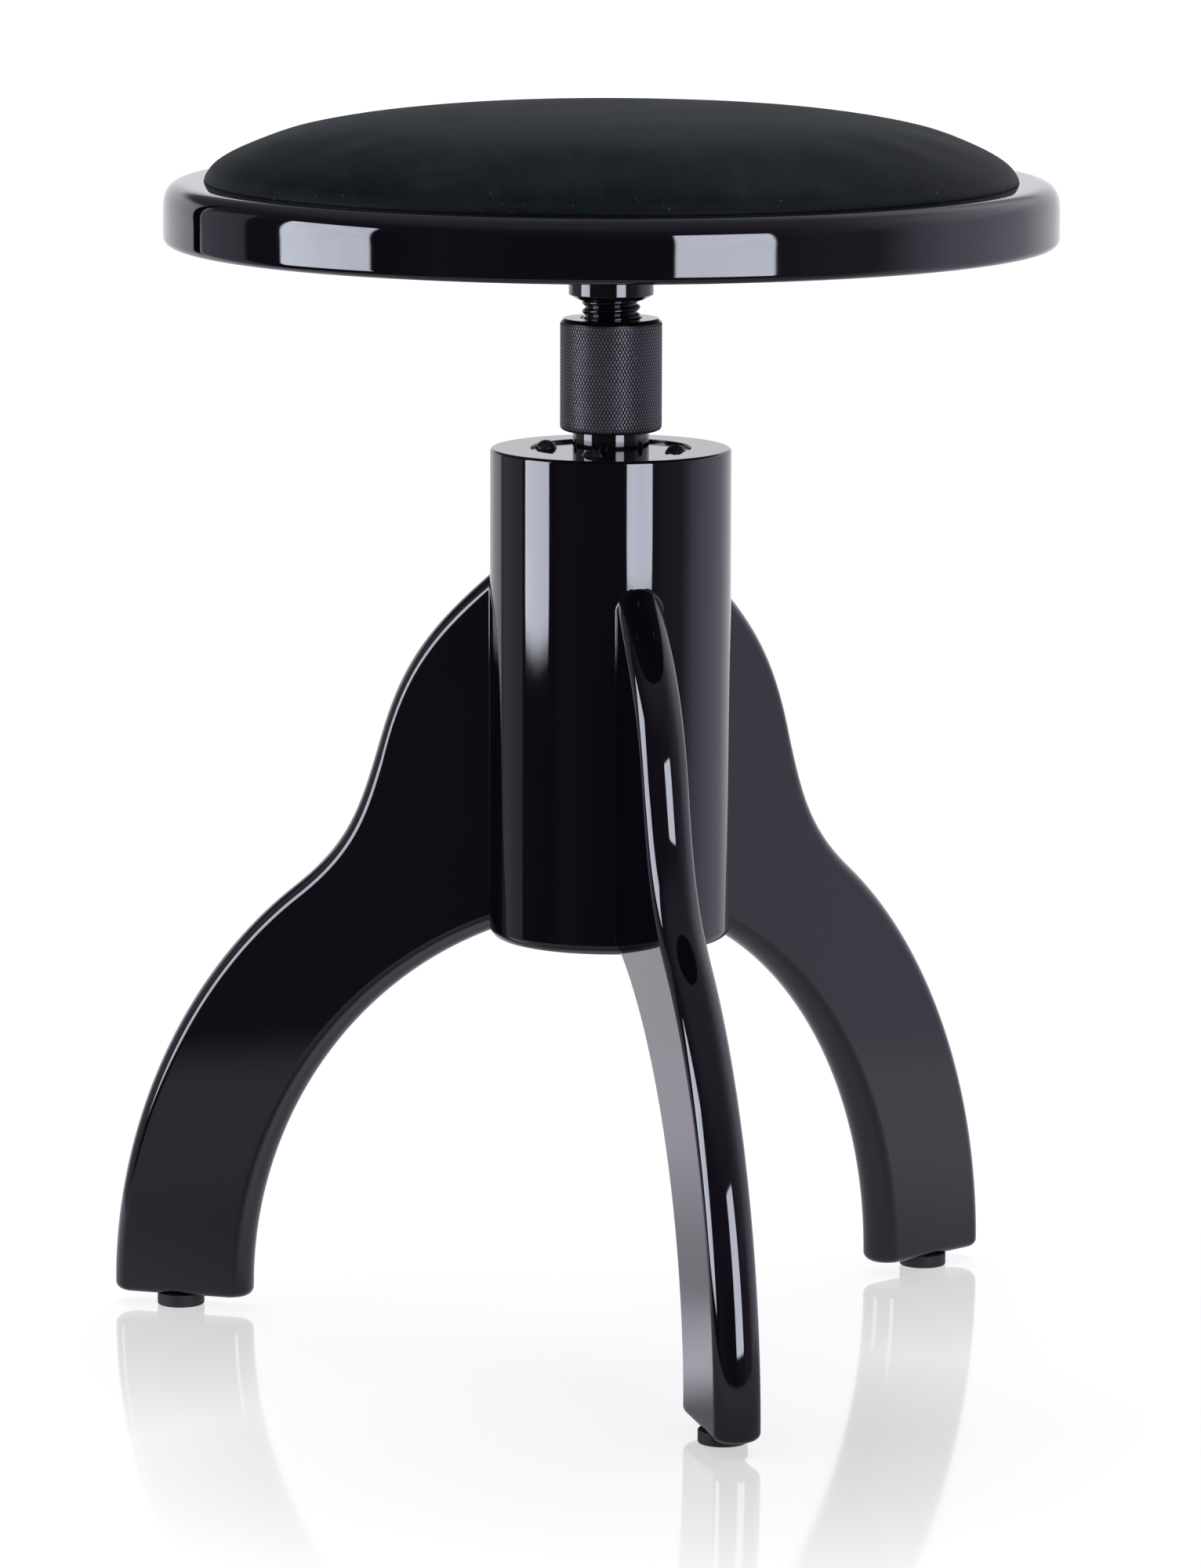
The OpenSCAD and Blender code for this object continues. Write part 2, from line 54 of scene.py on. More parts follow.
# Where a value starts to change, where it stops, and the value at either end.
Fade = tuple[float, float, float, float]


def rgba(colour: Colour) -> tuple[float, float, float, float]:
    """Returns a colour with full opacity."""
    return (*colour, 1.0)


def scaled(colour: Colour, factor: float) -> Colour:
    """Returns a colour made lighter or darker."""
    return tuple(factor * c for c in colour)


def smooth(share: np.ndarray) -> np.ndarray:
    """Eases shares from 0 to 1 in and out."""
    return share**2 * (3 - 2 * share)


def linked(name: str, data: bpy.types.ID) -> bpy.types.Object:
    """Puts a mesh, a lamp or a camera in the scene. Returns its object."""
    thing = bpy.data.objects.new(name, data)
    bpy.context.scene.collection.objects.link(thing)
    return thing


def baked(thing: bpy.types.Object) -> bpy.types.Mesh:
    """Returns a plain mesh of an object as its modifiers leave it."""
    depsgraph = bpy.context.evaluated_depsgraph_get()
    return bpy.data.meshes.new_from_object(
        thing.evaluated_get(depsgraph), preserve_all_data_layers=True, depsgraph=depsgraph
    )


# Node trees


class Value:
    """One output socket of a node tree, on which arithmetic adds Math nodes."""

    def __init__(self, graph: "Graph", socket: bpy.types.NodeSocket) -> None:
        """Args:
            graph: the tree that the socket belongs to.
            socket: the output socket.
        """
        self.graph = graph
        self.socket = socket

    def _math(self, operation: str, first: "Value | float", second: "Value | float") -> "Value":
        """Adds a Math node. Returns its result."""
        return self.graph.node("ShaderNodeMath", {"operation": operation}, {0: first, 1: second})

    def __add__(self, other: "Value | float") -> "Value":
        """Sum."""
        return self._math("ADD", self, other)

    def __radd__(self, other: float) -> "Value":
        """Sum with a number on the left."""
        return self._math("ADD", other, self)

    def __sub__(self, other: "Value | float") -> "Value":
        """Difference."""
        return self._math("SUBTRACT", self, other)

    def __rsub__(self, other: float) -> "Value":
        """Difference with a number on the left."""
        return self._math("SUBTRACT", other, self)

    def __mul__(self, other: "Value | float") -> "Value":
        """Product."""
        return self._math("MULTIPLY", self, other)

    def __rmul__(self, other: float) -> "Value":
        """Product with a number on the left."""
        return self._math("MULTIPLY", other, self)

    def __truediv__(self, other: "Value | float") -> "Value":
        """Quotient."""
        return self._math("DIVIDE", self, other)

    def __rtruediv__(self, other: float) -> "Value":
        """Quotient with a number on the left."""
        return self._math("DIVIDE", other, self)

    def __pow__(self, power: float) -> "Value":
        """Power."""
        return self._math("POWER", self, power)

    def __mod__(self, step: float) -> "Value":
        """Remainder, which is never negative."""
        return self._math("FLOORED_MODULO", self, step)

    def __gt__(self, other: "Value | float") -> "Value":
        """1 where the value is larger than the other, else 0."""
        return self._math("GREATER_THAN", self, other)

    def __lt__(self, other: "Value | float") -> "Value":
        """1 where the value is smaller than the other, else 0."""
        return self._math("LESS_THAN", self, other)

    def apply(self, operation: str, other: "Value | float" = 0.0) -> "Value":
        """Returns another operation of the Math node, such as ROUND or COSINE."""
        return self._math(operation, self, other)

    def ramp(self, low: float, high: float, start: float = 0.0, end: float = 1.0) -> "Value":
        """Goes smoothly from one value to another.

        Args:
            low: the input at which the result is start.
            high: the input at which the result is end.
            start: the result below low.
            end: the result above high.

        Returns:
            The result of a smooth Map Range node.
        """
        return self.graph.node(
            "ShaderNodeMapRange", {"interpolation_type": "SMOOTHSTEP"},
            {0: self, 1: low, 2: high, 3: start, 4: end},
        )


class Graph:
    """Adds nodes to a tree, with their settings and links in one call."""

    def __init__(self, tree: bpy.types.NodeTree) -> None:
        """Args:
            tree: a shader or geometry node tree.
        """
        self.tree = tree

    def node(
        self, kind: str, settings: dict | None = None, sockets: dict | None = None, output: int | str = 0
    ) -> Value | None:
        """Adds a node.

        Args:
            kind: the node's type.
            settings: the node's own settings, set first. "stops" are a colour ramp's stops.
            sockets: values or links, by the input's name or number.
            output: the output that is wanted, by name or number.

        Returns:
            The wanted output, or None where the node has no outputs.
        """
        made = self.tree.nodes.new(kind)
        for name, setting in (settings or {}).items():
            if name == "stops":
                elements = made.color_ramp.elements
                while len(elements) < len(setting):
                    elements.new(1.0)
                for element, (position, level) in zip(elements, setting):
                    element.position = position
                    element.color = rgba(level)
            elif name == "interpolation":
                made.color_ramp.interpolation = setting
            else:
                setattr(made, name, setting)
        for key, value in (sockets or {}).items():
            self.feed(made.inputs[key], value)
        return Value(self, made.outputs[output]) if len(made.outputs) else None

    def feed(self, socket: bpy.types.NodeSocket, value: object) -> None:
        """Links a value to an input, or sets the input to a constant."""
        if isinstance(value, Value):
            self.tree.links.new(value.socket, socket)
        else:
            socket.default_value = value

    def split(self, vector: Value) -> tuple[Value, ...]:
        """Returns the x, y and z of a vector."""
        outputs = self.node("ShaderNodeSeparateXYZ", {}, {0: vector}).socket.node.outputs
        return tuple(Value(self, outputs[axis]) for axis in "XYZ")

    def vector(self, x: Value | float, y: Value | float, z: Value | float) -> Value:
        """Returns a vector of three values."""
        return self.node("ShaderNodeCombineXYZ", {}, {"X": x, "Y": y, "Z": z})

    def along(self, place: Value, direction: Vector) -> Value:
        """Returns how far a place lies along a direction."""
        return self.node(
            "ShaderNodeVectorMath", {"operation": "DOT_PRODUCT"}, {0: place, 1: direction}, "Value"
        )

    def blended(self, share: Value, first: Value, second: Value) -> Value:
        """Returns a mix of two shaders, with the second one's share."""
        return self.node("ShaderNodeMixShader", {}, {0: share, 1: first, 2: second})

    def mixed(self, share: Value | float, first: Colour | Value, second: Colour | Value) -> Value:
        """Returns a colour between two, with the second one's share."""
        ends = [rgba(c) if isinstance(c, tuple) else c for c in (first, second)]
        return self.node("ShaderNodeMix", {"data_type": "RGBA"}, {0: share, 6: ends[0], 7: ends[1]}, 2)


class Shader(Graph):
    """The node tree of one new material."""

    def __init__(self, name: str) -> None:
        """Args:
            name: the material's name.
        """
        self.material = bpy.data.materials.new(name)
        self.material.use_nodes = True
        super().__init__(self.material.node_tree)
        self.tree.nodes.clear()
        self.place = self.node("ShaderNodeTexCoord", output="Object")

    def stretched(self, scale: Triple, turn: Triple = (0, 0, 0)) -> Value:
        """Returns Object coordinates, turned and scaled by a Mapping node."""
        return self.node("ShaderNodeMapping", {}, {"Vector": self.place, "Rotation": turn, "Scale": scale})

    def grain(
        self, size: float, detail: float = 2.0, roughness: float = 0.5, place: Value | None = None
    ) -> Value:
        """Noise from 0 to 1 with features of a given size.

        Args:
            size: the size of the features, in metres, or 1 where place is already scaled.
            detail: how many finer layers are added.
            roughness: the share of each finer layer.
            place: the coordinates, if they aren't the Object ones.

        Returns:
            The noise.
        """
        return self.node(
            "ShaderNodeTexNoise", {"noise_dimensions": "3D"},
            {"Vector": place or self.place, "Scale": 1.0 / size, "Detail": detail, "Roughness": roughness},
        )

    def glow(self, colour: tuple[float, ...], strength: Value | float) -> Value:
        """Returns a shader that glows."""
        return self.node("ShaderNodeEmission", {}, {"Color": colour, "Strength": strength})

    def relief(self, height: Value, depth: float, under: Value | None = None) -> Value:
        """Bumps the surface.

        Args:
            height: from 0 to 1.
            depth: the height of the bumps in metres.
            under: bumps that these lie on.

        Returns:
            The bumped normal.
        """
        sockets = {"Height": height, "Distance": depth, "Strength": 1.0}
        if under is not None:
            sockets["Normal"] = under
        return self.node("ShaderNodeBump", {}, sockets)

    def finish(self, sockets: dict) -> bpy.types.Material:
        """Gives the material a Principled surface. Returns the material."""
        self.surface(self.node("ShaderNodeBsdfPrincipled", {}, sockets))
        return self.material

    def surface(self, shader: Value) -> None:
        """Makes a shader the material's surface."""
        self.node("ShaderNodeOutputMaterial", {}, {"Surface": shader})


class Geometry(Graph):
    """A Geometry Nodes tree with named inputs, run once to make a plain mesh."""

    def __init__(self, name: str) -> None:
        """Args:
            name: the tree's name.
        """
        super().__init__(bpy.data.node_groups.new(name, "GeometryNodeTree"))
        self.tree.interface.new_socket("Geometry", in_out="INPUT", socket_type="NodeSocketGeometry")
        self.tree.interface.new_socket("Geometry", in_out="OUTPUT", socket_type="NodeSocketGeometry")
        self.inlet = self.tree.nodes.new("NodeGroupInput")
        self.values: dict[str, object] = {}

    def _input(self, name: str, value: object, kind: str) -> Value:
        """Adds a named input. Returns its socket."""
        item = self.tree.interface.new_socket(name, in_out="INPUT", socket_type=kind)
        self.values[item.identifier] = value
        return Value(self, self.inlet.outputs[name])

    def size(self, name: str, value: float) -> Value:
        """Adds a named input for a length or an angle."""
        return self._input(name, float(value), "NodeSocketFloat")

    def count(self, name: str, value: int) -> Value:
        """Adds a named input for a number of things."""
        return self._input(name, int(value), "NodeSocketInt")

    def thing(self, name: str, value: bpy.types.Object) -> Value:
        """Adds a named input for an object."""
        return self._input(name, value, "NodeSocketObject")

    def grid(self, across: Value, up: Value) -> tuple[Value, Value, Value]:
        """Adds a grid with unit sides.

        Args:
            across: vertices along x.
            up: vertices along y.

        Returns:
            The mesh, and each vertex's share across and up, from 0 to 1.
        """
        mesh = self.node(
            "GeometryNodeMeshGrid", {}, {"Size X": 1.0, "Size Y": 1.0, "Vertices X": across, "Vertices Y": up}
        )
        x, y, _ = self.split(self.node("GeometryNodeInputPosition"))
        return mesh, x + 0.5, y + 0.5

    def wrapped(self, mesh: Value, angle: Value, radius: Value, height: Value) -> Value:
        """Sets the vertices to places round the axis. Returns the mesh."""
        place = self.vector(radius * angle.apply("COSINE"), radius * angle.apply("SINE"), height)
        return self.node("GeometryNodeSetPosition", {}, {"Geometry": mesh, "Position": place})

    def made(
        self,
        mesh: Value,
        material: bpy.types.Material,
        marked: tuple[Value, bpy.types.Material] | None = None,
    ) -> bpy.types.Mesh:
        """Ends the tree, runs it on a passing object, and keeps the result.

        Args:
            mesh: what the tree makes.
            material: the material that its faces get.
            marked: a choice of faces, and the material that these get instead.

        Returns:
            A plain mesh.
        """
        whole = self.node("GeometryNodeRealizeInstances", {}, {0: mesh})
        dressed = self.node("GeometryNodeSetMaterial", {}, {"Geometry": whole, "Material": material})
        if marked is not None:
            choice, other = marked
            dressed = self.node(
                "GeometryNodeSetMaterial", {}, {"Geometry": dressed, "Selection": choice, "Material": other}
            )
        outlet = self.tree.nodes.new("NodeGroupOutput")
        self.tree.links.new(dressed.socket, outlet.inputs[0])
        passing = linked("passing", bpy.data.meshes.new("passing"))
        modifier = passing.modifiers.new("tree", "NODES")
        modifier.node_group = self.tree
        for identifier, value in self.values.items():
            modifier[identifier] = value
        result = baked(passing)
        passing.modifiers.remove(modifier)
        bpy.data.objects.remove(passing)
        return result


# Finishes


@dataclass(frozen=True)
class Lacquer:
    """Polished black lacquer, with the slight waviness of a sprayed and buffed surface."""

    name: str = "black_lacquer"
    colour: Colour = (0.0027, 0.0021, 0.0040)
    roughness: float = 0.025
    haze: float = 0.03
    swirl_size: float = 0.035
    fine_size: float = 0.0011
    wave_size: float = 0.0045
    wave_depth: float = 1.6e-6

    def material(self) -> bpy.types.Material:
        """Returns the finish as a new material."""
        tree = Shader(self.name)
        swirl = tree.grain(self.swirl_size, 3.0, 0.55)
        fine = tree.grain(self.fine_size)
        return tree.finish({
            "Base Color": tree.mixed(swirl, self.colour, scaled(self.colour, 1.5)),
            "Roughness": self.roughness + self.haze * swirl.ramp(0.35, 0.8) * (0.7 + 0.6 * fine),
            "IOR": 1.5,
            "Normal": tree.relief(tree.grain(self.wave_size, 1.0, 0.4), self.wave_depth),
        })


@dataclass(frozen=True)
class GlossSteel:
    """Black stove enamel on turned steel: glossy, with faint turning lines under it."""

    name: str = "black_enamel"
    colour: Colour = (0.004, 0.004, 0.005)
    roughness: float = 0.05
    cloud_size: float = 0.012
    line_stretch: float = 6.0
    line_pitch: float = 0.0006
    line_depth: float = 1.2e-6

    def material(self) -> bpy.types.Material:
        """Returns the finish as a new material."""
        tree = Shader(self.name)
        cloud = tree.grain(self.cloud_size, 3.0)
        stretch = (self.line_stretch, self.line_stretch, 1.0 / self.line_pitch)
        lines = tree.grain(1.0, 2.0, 0.6, tree.stretched(stretch))
        return tree.finish({
            "Base Color": tree.mixed(cloud, self.colour, scaled(self.colour, 1.8)),
            "Roughness": self.roughness + 0.04 * cloud,
            "IOR": 1.5,
            "Normal": tree.relief(lines, self.line_depth),
        })


@dataclass(frozen=True)
class OxideSteel:
    """Blackened steel, as on the knurled sleeve, the screws and the seat plate."""

    name: str
    colour: Colour
    roughness: float
    metallic: float = 0.85
    wear: float = 0.25
    cloud_size: float = 0.006
    pit_size: float = 0.0004
    pit_depth: float = 4e-6

    def material(self) -> bpy.types.Material:
        """Returns the finish as a new material."""
        tree = Shader(self.name)
        cloud = tree.grain(self.cloud_size, 4.0, 0.6)
        pits = tree.grain(self.pit_size)
        worn = tuple(c * (1 + 4 * self.wear) + 0.01 * self.wear for c in self.colour)
        return tree.finish({
            "Base Color": tree.mixed(cloud.ramp(0.3, 0.8) * (0.5 + pits), self.colour, worn),
            "Roughness": self.roughness + 0.12 * (cloud - 0.5) + 0.08 * (pits - 0.5),
            "Metallic": self.metallic,
            "Normal": tree.relief(pits, self.pit_depth),
        })


@dataclass(frozen=True)
class ZincSteel:
    """Bright zinc plate with its faint blotches."""

    name: str = "zinc_plate"
    colour: Colour = (0.56, 0.57, 0.6)
    yellowed: Colour = (0.6, 0.58, 0.5)
    cloud_size: float = 0.008
    blotch_size: float = 0.003
    blotch_depth: float = 6e-6

    def material(self) -> bpy.types.Material:
        """Returns the finish as a new material."""
        tree = Shader(self.name)
        blotch = tree.grain(self.blotch_size, 4.0, 0.6)
        tint = tree.mixed(tree.grain(self.cloud_size), self.colour, self.yellowed)
        return tree.finish({
            "Base Color": tree.mixed(blotch.ramp(0.4, 0.75), tint, scaled(self.colour, 0.75)),
            "Roughness": 0.26 + 0.22 * blotch,
            "Metallic": 1.0,
            "Normal": tree.relief(blotch, self.blotch_depth),
        })


@dataclass(frozen=True)
class Rubber:
    """Matt black rubber of the foot pads."""

    name: str = "pad_rubber"
    colour: Colour = (0.012, 0.012, 0.013)
    dusty: Colour = (0.05, 0.048, 0.046)
    dust_size: float = 0.004
    mould_size: float = 0.0007
    mould_depth: float = 3e-5

    def material(self) -> bpy.types.Material:
        """Returns the finish as a new material."""
        tree = Shader(self.name)
        mould = tree.grain(self.mould_size, 3.0, 0.6)
        dust = tree.grain(self.dust_size, 3.0).ramp(0.5, 0.85)
        return tree.finish({
            "Base Color": tree.mixed(0.5 * dust, self.colour, self.dusty),
            "Roughness": 0.52 + 0.2 * mould,
            "Normal": tree.relief(mould, self.mould_depth),
        })


class Cut(Enum):
    """How a piece of bare wood is cut, and how its grain is scaled along x, y and z."""

    DOWEL = (90.0, 90.0, 700.0)
    PLYWOOD = (14.0, 160.0, 900.0)


@dataclass(frozen=True)
class BareWood:
    """Unfinished wood with its grain."""

    name: str
    cut: Cut
    light: Colour = (0.62, 0.45, 0.26)
    dark: Colour = (0.38, 0.24, 0.12)
    grain_depth: float = 5e-5

    def material(self) -> bpy.types.Material:
        """Returns the finish as a new material."""
        tree = Shader(self.name)
        grain = tree.grain(1.0, 4.0, 0.6, tree.stretched(self.cut.value))
        return tree.finish({
            "Base Color": tree.mixed(grain.ramp(0.35, 0.7), self.light, self.dark),
            "Roughness": 0.6 + 0.2 * grain,
            "Normal": tree.relief(grain, self.grain_depth),
        })


@dataclass(frozen=True)
class Velour:
    """Very dark green velour, with a short nap that is brushed in patches."""

    name: str = "green_black_velour"
    dark: Colour = (0.0008, 0.0025, 0.0032)
    light: Colour = (0.0060, 0.0100, 0.0115)
    lint: Colour = (0.12, 0.12, 0.12)
    sheen: Colour = (0.34, 0.40, 0.46)
    pile: float = 0.00045
    pile_depth: float = 8e-5
    patch: float = 0.05
    brushed_scale: Triple = (9.0, 30.0, 24.0)
    brushed_turn: float = 0.5
    brushed_depth: float = 2e-4
    streak_scale: Triple = (160.0, 16.0, 40.0)
    streak_turn: float = 0.24
    lint_size: float = 0.0009
    lint_rarity: float = 0.84
    tuck_height: float = 0.4640
    # How far the painted light band along the cover's foot reaches above the tuck.
    light_band_fade: float = 0.003
    lint_fade: float = 0.008

    def material(self) -> bpy.types.Material:
        """Returns the finish as a new material."""
        tree = Shader(self.name)
        brushed_place = tree.stretched(self.brushed_scale, (0.0, 0.0, self.brushed_turn))
        streak_place = tree.stretched(self.streak_scale, (0.0, 0.0, self.streak_turn))
        brushed = tree.grain(1.0, 4.0, 0.62, brushed_place)
        streaks = tree.grain(1.0, 3.0, 0.6, streak_place)
        patches = tree.grain(self.patch, 2.0, 0.5)
        fibres = tree.grain(self.pile, 2.0, 0.7)
        *_, height = tree.split(tree.place)
        # Painted light: the cover is made lighter in a band just above where it tucks under, as light caught
        # along its foot.
        painted_light_band = height.ramp(self.tuck_height, self.tuck_height + self.light_band_fade, 1.0, 0.0)
        low_down = height.ramp(self.tuck_height, self.tuck_height + self.lint_fade, 1.0, 0.0)
        lint = (tree.grain(self.lint_size, 0.0) > self.lint_rarity) * low_down
        nap = (
            0.45 * brushed.ramp(0.42, 0.72) + 0.3 * patches.ramp(0.3, 0.75) + 0.25 * streaks.ramp(0.45, 0.75)
        )
        # The painted light band joins the nap here, so the colour mixed below holds both real nap and painted
        # light.
        nap = nap * (0.6 + 0.8 * fibres) + 0.5 * painted_light_band
        worn = tree.mixed(nap.apply("MINIMUM", 1.0), self.dark, self.light)
        lay = tree.relief(brushed, self.brushed_depth)
        return tree.finish({
            "Base Color": tree.mixed(0.8 * lint, worn, self.lint),
            "Roughness": 0.55 + 0.14 * fibres,
            "Specular IOR Level": 0.12,
            "Sheen Weight": 0.06,
            "Sheen Roughness": 0.3,
            "Sheen Tint": rgba(self.sheen),
            "Normal": tree.relief(fibres, self.pile_depth, lay),
        })


class Finishes:
    """Builds each finish once and hands its material out."""

    def __init__(self) -> None:
        """Builds every material of the stool."""
        self.lacquer = Lacquer().material()
        self.enamel = GlossSteel().material()
        self.thread = GlossSteel("thread_enamel", roughness=0.025, line_depth=4e-7).material()
        self.knurl, self.groove, self.turned, self.screw, self.plate = (
            OxideSteel(f"{name}_oxide", colour, roughness, metallic, wear, pit_depth=pit_depth).material()
            for name, colour, roughness, metallic, wear, pit_depth in (
                ("knurled", (0.130, 0.124, 0.146), 0.42, 0.05, 0.02, 4e-6),
                # The grooves get a much darker copy of the knurl's oxide: painted shade in them.
                ("groove", (0.022, 0.020, 0.025), 0.5, 0.05, 0.02, 4e-6),
                ("turned", (0.012, 0.012, 0.014), 0.12, 0.6, 0.1, 4e-6),
                ("screw", (0.022, 0.016, 0.017), 0.38, 0.3, 0.6, 3e-5),
                ("plate", (0.02, 0.02, 0.022), 0.4, 0.6, 0.2, 4e-6),
            )
        )
        self.zinc = ZincSteel().material()
        self.rubber = Rubber().material()
        self.dowel = BareWood("dowel_wood", Cut.DOWEL).material()
        self.plywood = BareWood("plywood", Cut.PLYWOOD).material()
        self.velour = Velour().material()


# Meshes


def rounded(corners: Sequence[Triple], steps: int = 9, guard: float = 0.25) -> list[Point]:
    """Rounds the corners of a polygon.

    Args:
        corners: radius, height and rounding of each corner, in millimetres.
        steps: steps of each rounding.
        guard: distance from each rounding to a point that keeps the flat beside it flat.

    Returns:
        The outline's points. Where the first corner lies on the axis, the outline is open there.
    """
    points: list[Point] = []
    total = len(corners)
    for i, (x, z, radius) in enumerate(corners):
        here = np.array([x, z])
        if radius <= 0:
            points.append((x, z))
            continue
        back = np.array(corners[i - 1][:2]) - here
        ahead = np.array(corners[(i + 1) % total][:2]) - here
        back_length, ahead_length = np.linalg.norm(back), np.linalg.norm(ahead)
        back, ahead = back / back_length, ahead / ahead_length
        half = math.acos(np.clip(back @ ahead, -1, 1)) / 2
        reach = radius / math.tan(half)
        centre = here + (back + ahead) / np.linalg.norm(back + ahead) * radius / math.sin(half)
        start, end = here + back * reach, here + ahead * reach
        if back_length > reach + guard:
            points.append(tuple(start + back * guard))
        first, last = start - centre, end - centre
        sweep = math.acos(np.clip(first @ last / radius**2, -1, 1))
        for k in range(steps + 1):
            share = k / steps
            blend = (math.sin((1 - share) * sweep) * first + math.sin(share * sweep) * last) / math.sin(sweep)
            points.append(tuple(centre + blend))
        if ahead_length > reach + guard:
            points.append(tuple(end + ahead * guard))
    return [(float(x), float(z)) for x, z in points]


def outward(mesh: bpy.types.Mesh) -> bpy.types.Mesh:
    """Turns a closed mesh's faces outwards where they point inwards. Returns the mesh."""
    shape = bmesh.new()
    shape.from_mesh(mesh)
    if shape.calc_volume(signed=True) < 0:
        bmesh.ops.reverse_faces(shape, faces=shape.faces)
    shape.to_mesh(mesh)
    shape.free()
    return mesh


def mesh_from(name: str, points: np.ndarray, faces: Sequence[Sequence[int]]) -> bpy.types.Mesh:
    """Makes a closed mesh.

    Args:
        name: the mesh's name.
        points: vertices in millimetres.
        faces: the vertices of each face.

    Returns:
        The mesh in metres, with its faces outwards.
    """
    mesh = bpy.data.meshes.new(name)
    mesh.from_pydata((np.asarray(points) * MM).tolist(), [], [list(f) for f in faces])
    mesh.validate()
    return outward(mesh)


def strip(low: Sequence[int], high: Sequence[int], closed: bool = False) -> list[list[int]]:
    """Lays faces between two rows of vertices.

    Args:
        low: one row.
        high: the other row, of the same length. A vertex may repeat in either.
        closed: whether the rows are rings.

    Returns:
        The vertices of each face, of which a repeated vertex makes a triangle.
    """
    pairs = list(zip(low, high))
    following = pairs[1:] + (pairs[:1] if closed else [])
    loops = [list(dict.fromkeys((a, c, d, b))) for (a, b), (c, d) in zip(pairs, following)]
    return [loop for loop in loops if len(loop) > 2]


def revolved(name: str, outline: Sequence[Point], segments: int = 192) -> bpy.types.Mesh:
    """Turns an outline round the axis.

    Args:
        name: the mesh's name.
        outline: radius and height of each point, in millimetres. It runs from the axis to
            the axis, or else is a closed loop.
        segments: steps round the axis.

    Returns:
        A closed mesh.
    """
    angles = np.arange(segments) * 2 * math.pi / segments
    points, rings = [], []
    for radius, height in outline:
        if radius < ON_AXIS:
            rings.append([len(points)] * segments)
            points.append((0.0, 0.0, height))
        else:
            rings.append(list(range(len(points), len(points) + segments)))
            points += [(radius * math.cos(a), radius * math.sin(a), height) for a in angles]
    pairs = list(zip(rings, rings[1:]))
    if outline[0][0] >= ON_AXIS:
        pairs.append((rings[-1], rings[0]))
    faces = [face for low, high in pairs for face in strip(low, high, closed=True)]
    return mesh_from(name, np.array(points), faces)


def joined(name: str, meshes: Iterable[bpy.types.Mesh], weld: float = 1e-6) -> bpy.types.Mesh:
    """Joins meshes and merges the vertices that lie on each other. Returns the new mesh."""
    shape = bmesh.new()
    materials: list[bpy.types.Material] = []
    for mesh in meshes:
        first = len(shape.faces)
        shape.from_mesh(mesh)
        shape.faces.ensure_lookup_table()
        slots = list(mesh.materials)
        materials += [m for m in slots if m is not None and m not in materials]
        for face in shape.faces[first:]:
            face.material_index = materials.index(slots[face.material_index])
    bmesh.ops.remove_doubles(shape, verts=shape.verts, dist=weld)
    result = bpy.data.meshes.new(name)
    shape.to_mesh(result)
    shape.free()
    for material in materials:
        result.materials.append(material)
    return result


def places(mesh: bpy.types.Mesh) -> np.ndarray:
    """Returns a mesh's vertices, in metres."""
    found = np.zeros(len(mesh.vertices) * 3)
    mesh.vertices.foreach_get("co", found)
    return found.reshape(-1, 3)


def loose_edges(mesh: bpy.types.Mesh) -> int:
    """Counts the edges that don't lie between exactly two faces, of which a closed mesh has none."""
    faces = np.zeros(len(mesh.edges), int)
    edges = np.zeros(len(mesh.loops), int)
    mesh.loops.foreach_get("edge_index", edges)
    np.add.at(faces, edges, 1)
    return int((faces != 2).sum())


def place_piece(
    name: str,
    mesh: bpy.types.Mesh,
    body: str,
    material: bpy.types.Material | None = None,
    replaces: Sequence[str] = (),
    sharp: float = 32.0,
) -> bpy.types.Object:
    """Shows a mesh as a piece of the stool.

    Args:
        name: the piece's name.
        mesh: its mesh, in place.
        body: the body that it rides on.
        material: its material, where the mesh has none yet.
        replaces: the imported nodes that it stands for.
        sharp: the angle between faces, in degrees, above which an edge is sharp.

    Returns:
        The piece.
    """
    if material is not None:
        mesh.materials.clear()
        mesh.materials.append(material)
    mesh.shade_smooth()
    mesh.set_sharp_from_angle(angle=math.radians(sharp))
    piece = linked(name, mesh)
    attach(piece, body)
    if replaces:
        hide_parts(*replaces)
    triangles = sum(len(p.vertices) - 2 for p in mesh.polygons)
    log.info("%-18s %6d triangles, %d loose edges, on %s", name, triangles, loose_edges(mesh), body)
    return piece


def turned_piece(
    name: str,
    corners: Sequence[Triple],
    body: str,
    material: bpy.types.Material,
    node: str,
    steps: int = 4,
    segments: int = 160,
) -> None:
    """Turns an outline with rounded corners round the axis, and shows it as a piece.

    Args:
        name: the piece's name.
        corners: radius, height and rounding of each corner, in millimetres.
        body: the body that it rides on.
        material: its material.
        node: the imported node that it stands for.
        steps: steps of each rounding.
        segments: steps round the axis.
    """
    place_piece(name, revolved(name, rounded(corners, steps), segments), body, material, [node])


def dress_nodes(nodes: Iterable[str], material: bpy.types.Material) -> None:
    """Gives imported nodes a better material."""
    for node in nodes:
        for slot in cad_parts[node].material_slots:
            slot.material = material
        log.info("%-18s packed node with %s", node, material.name)


# Column


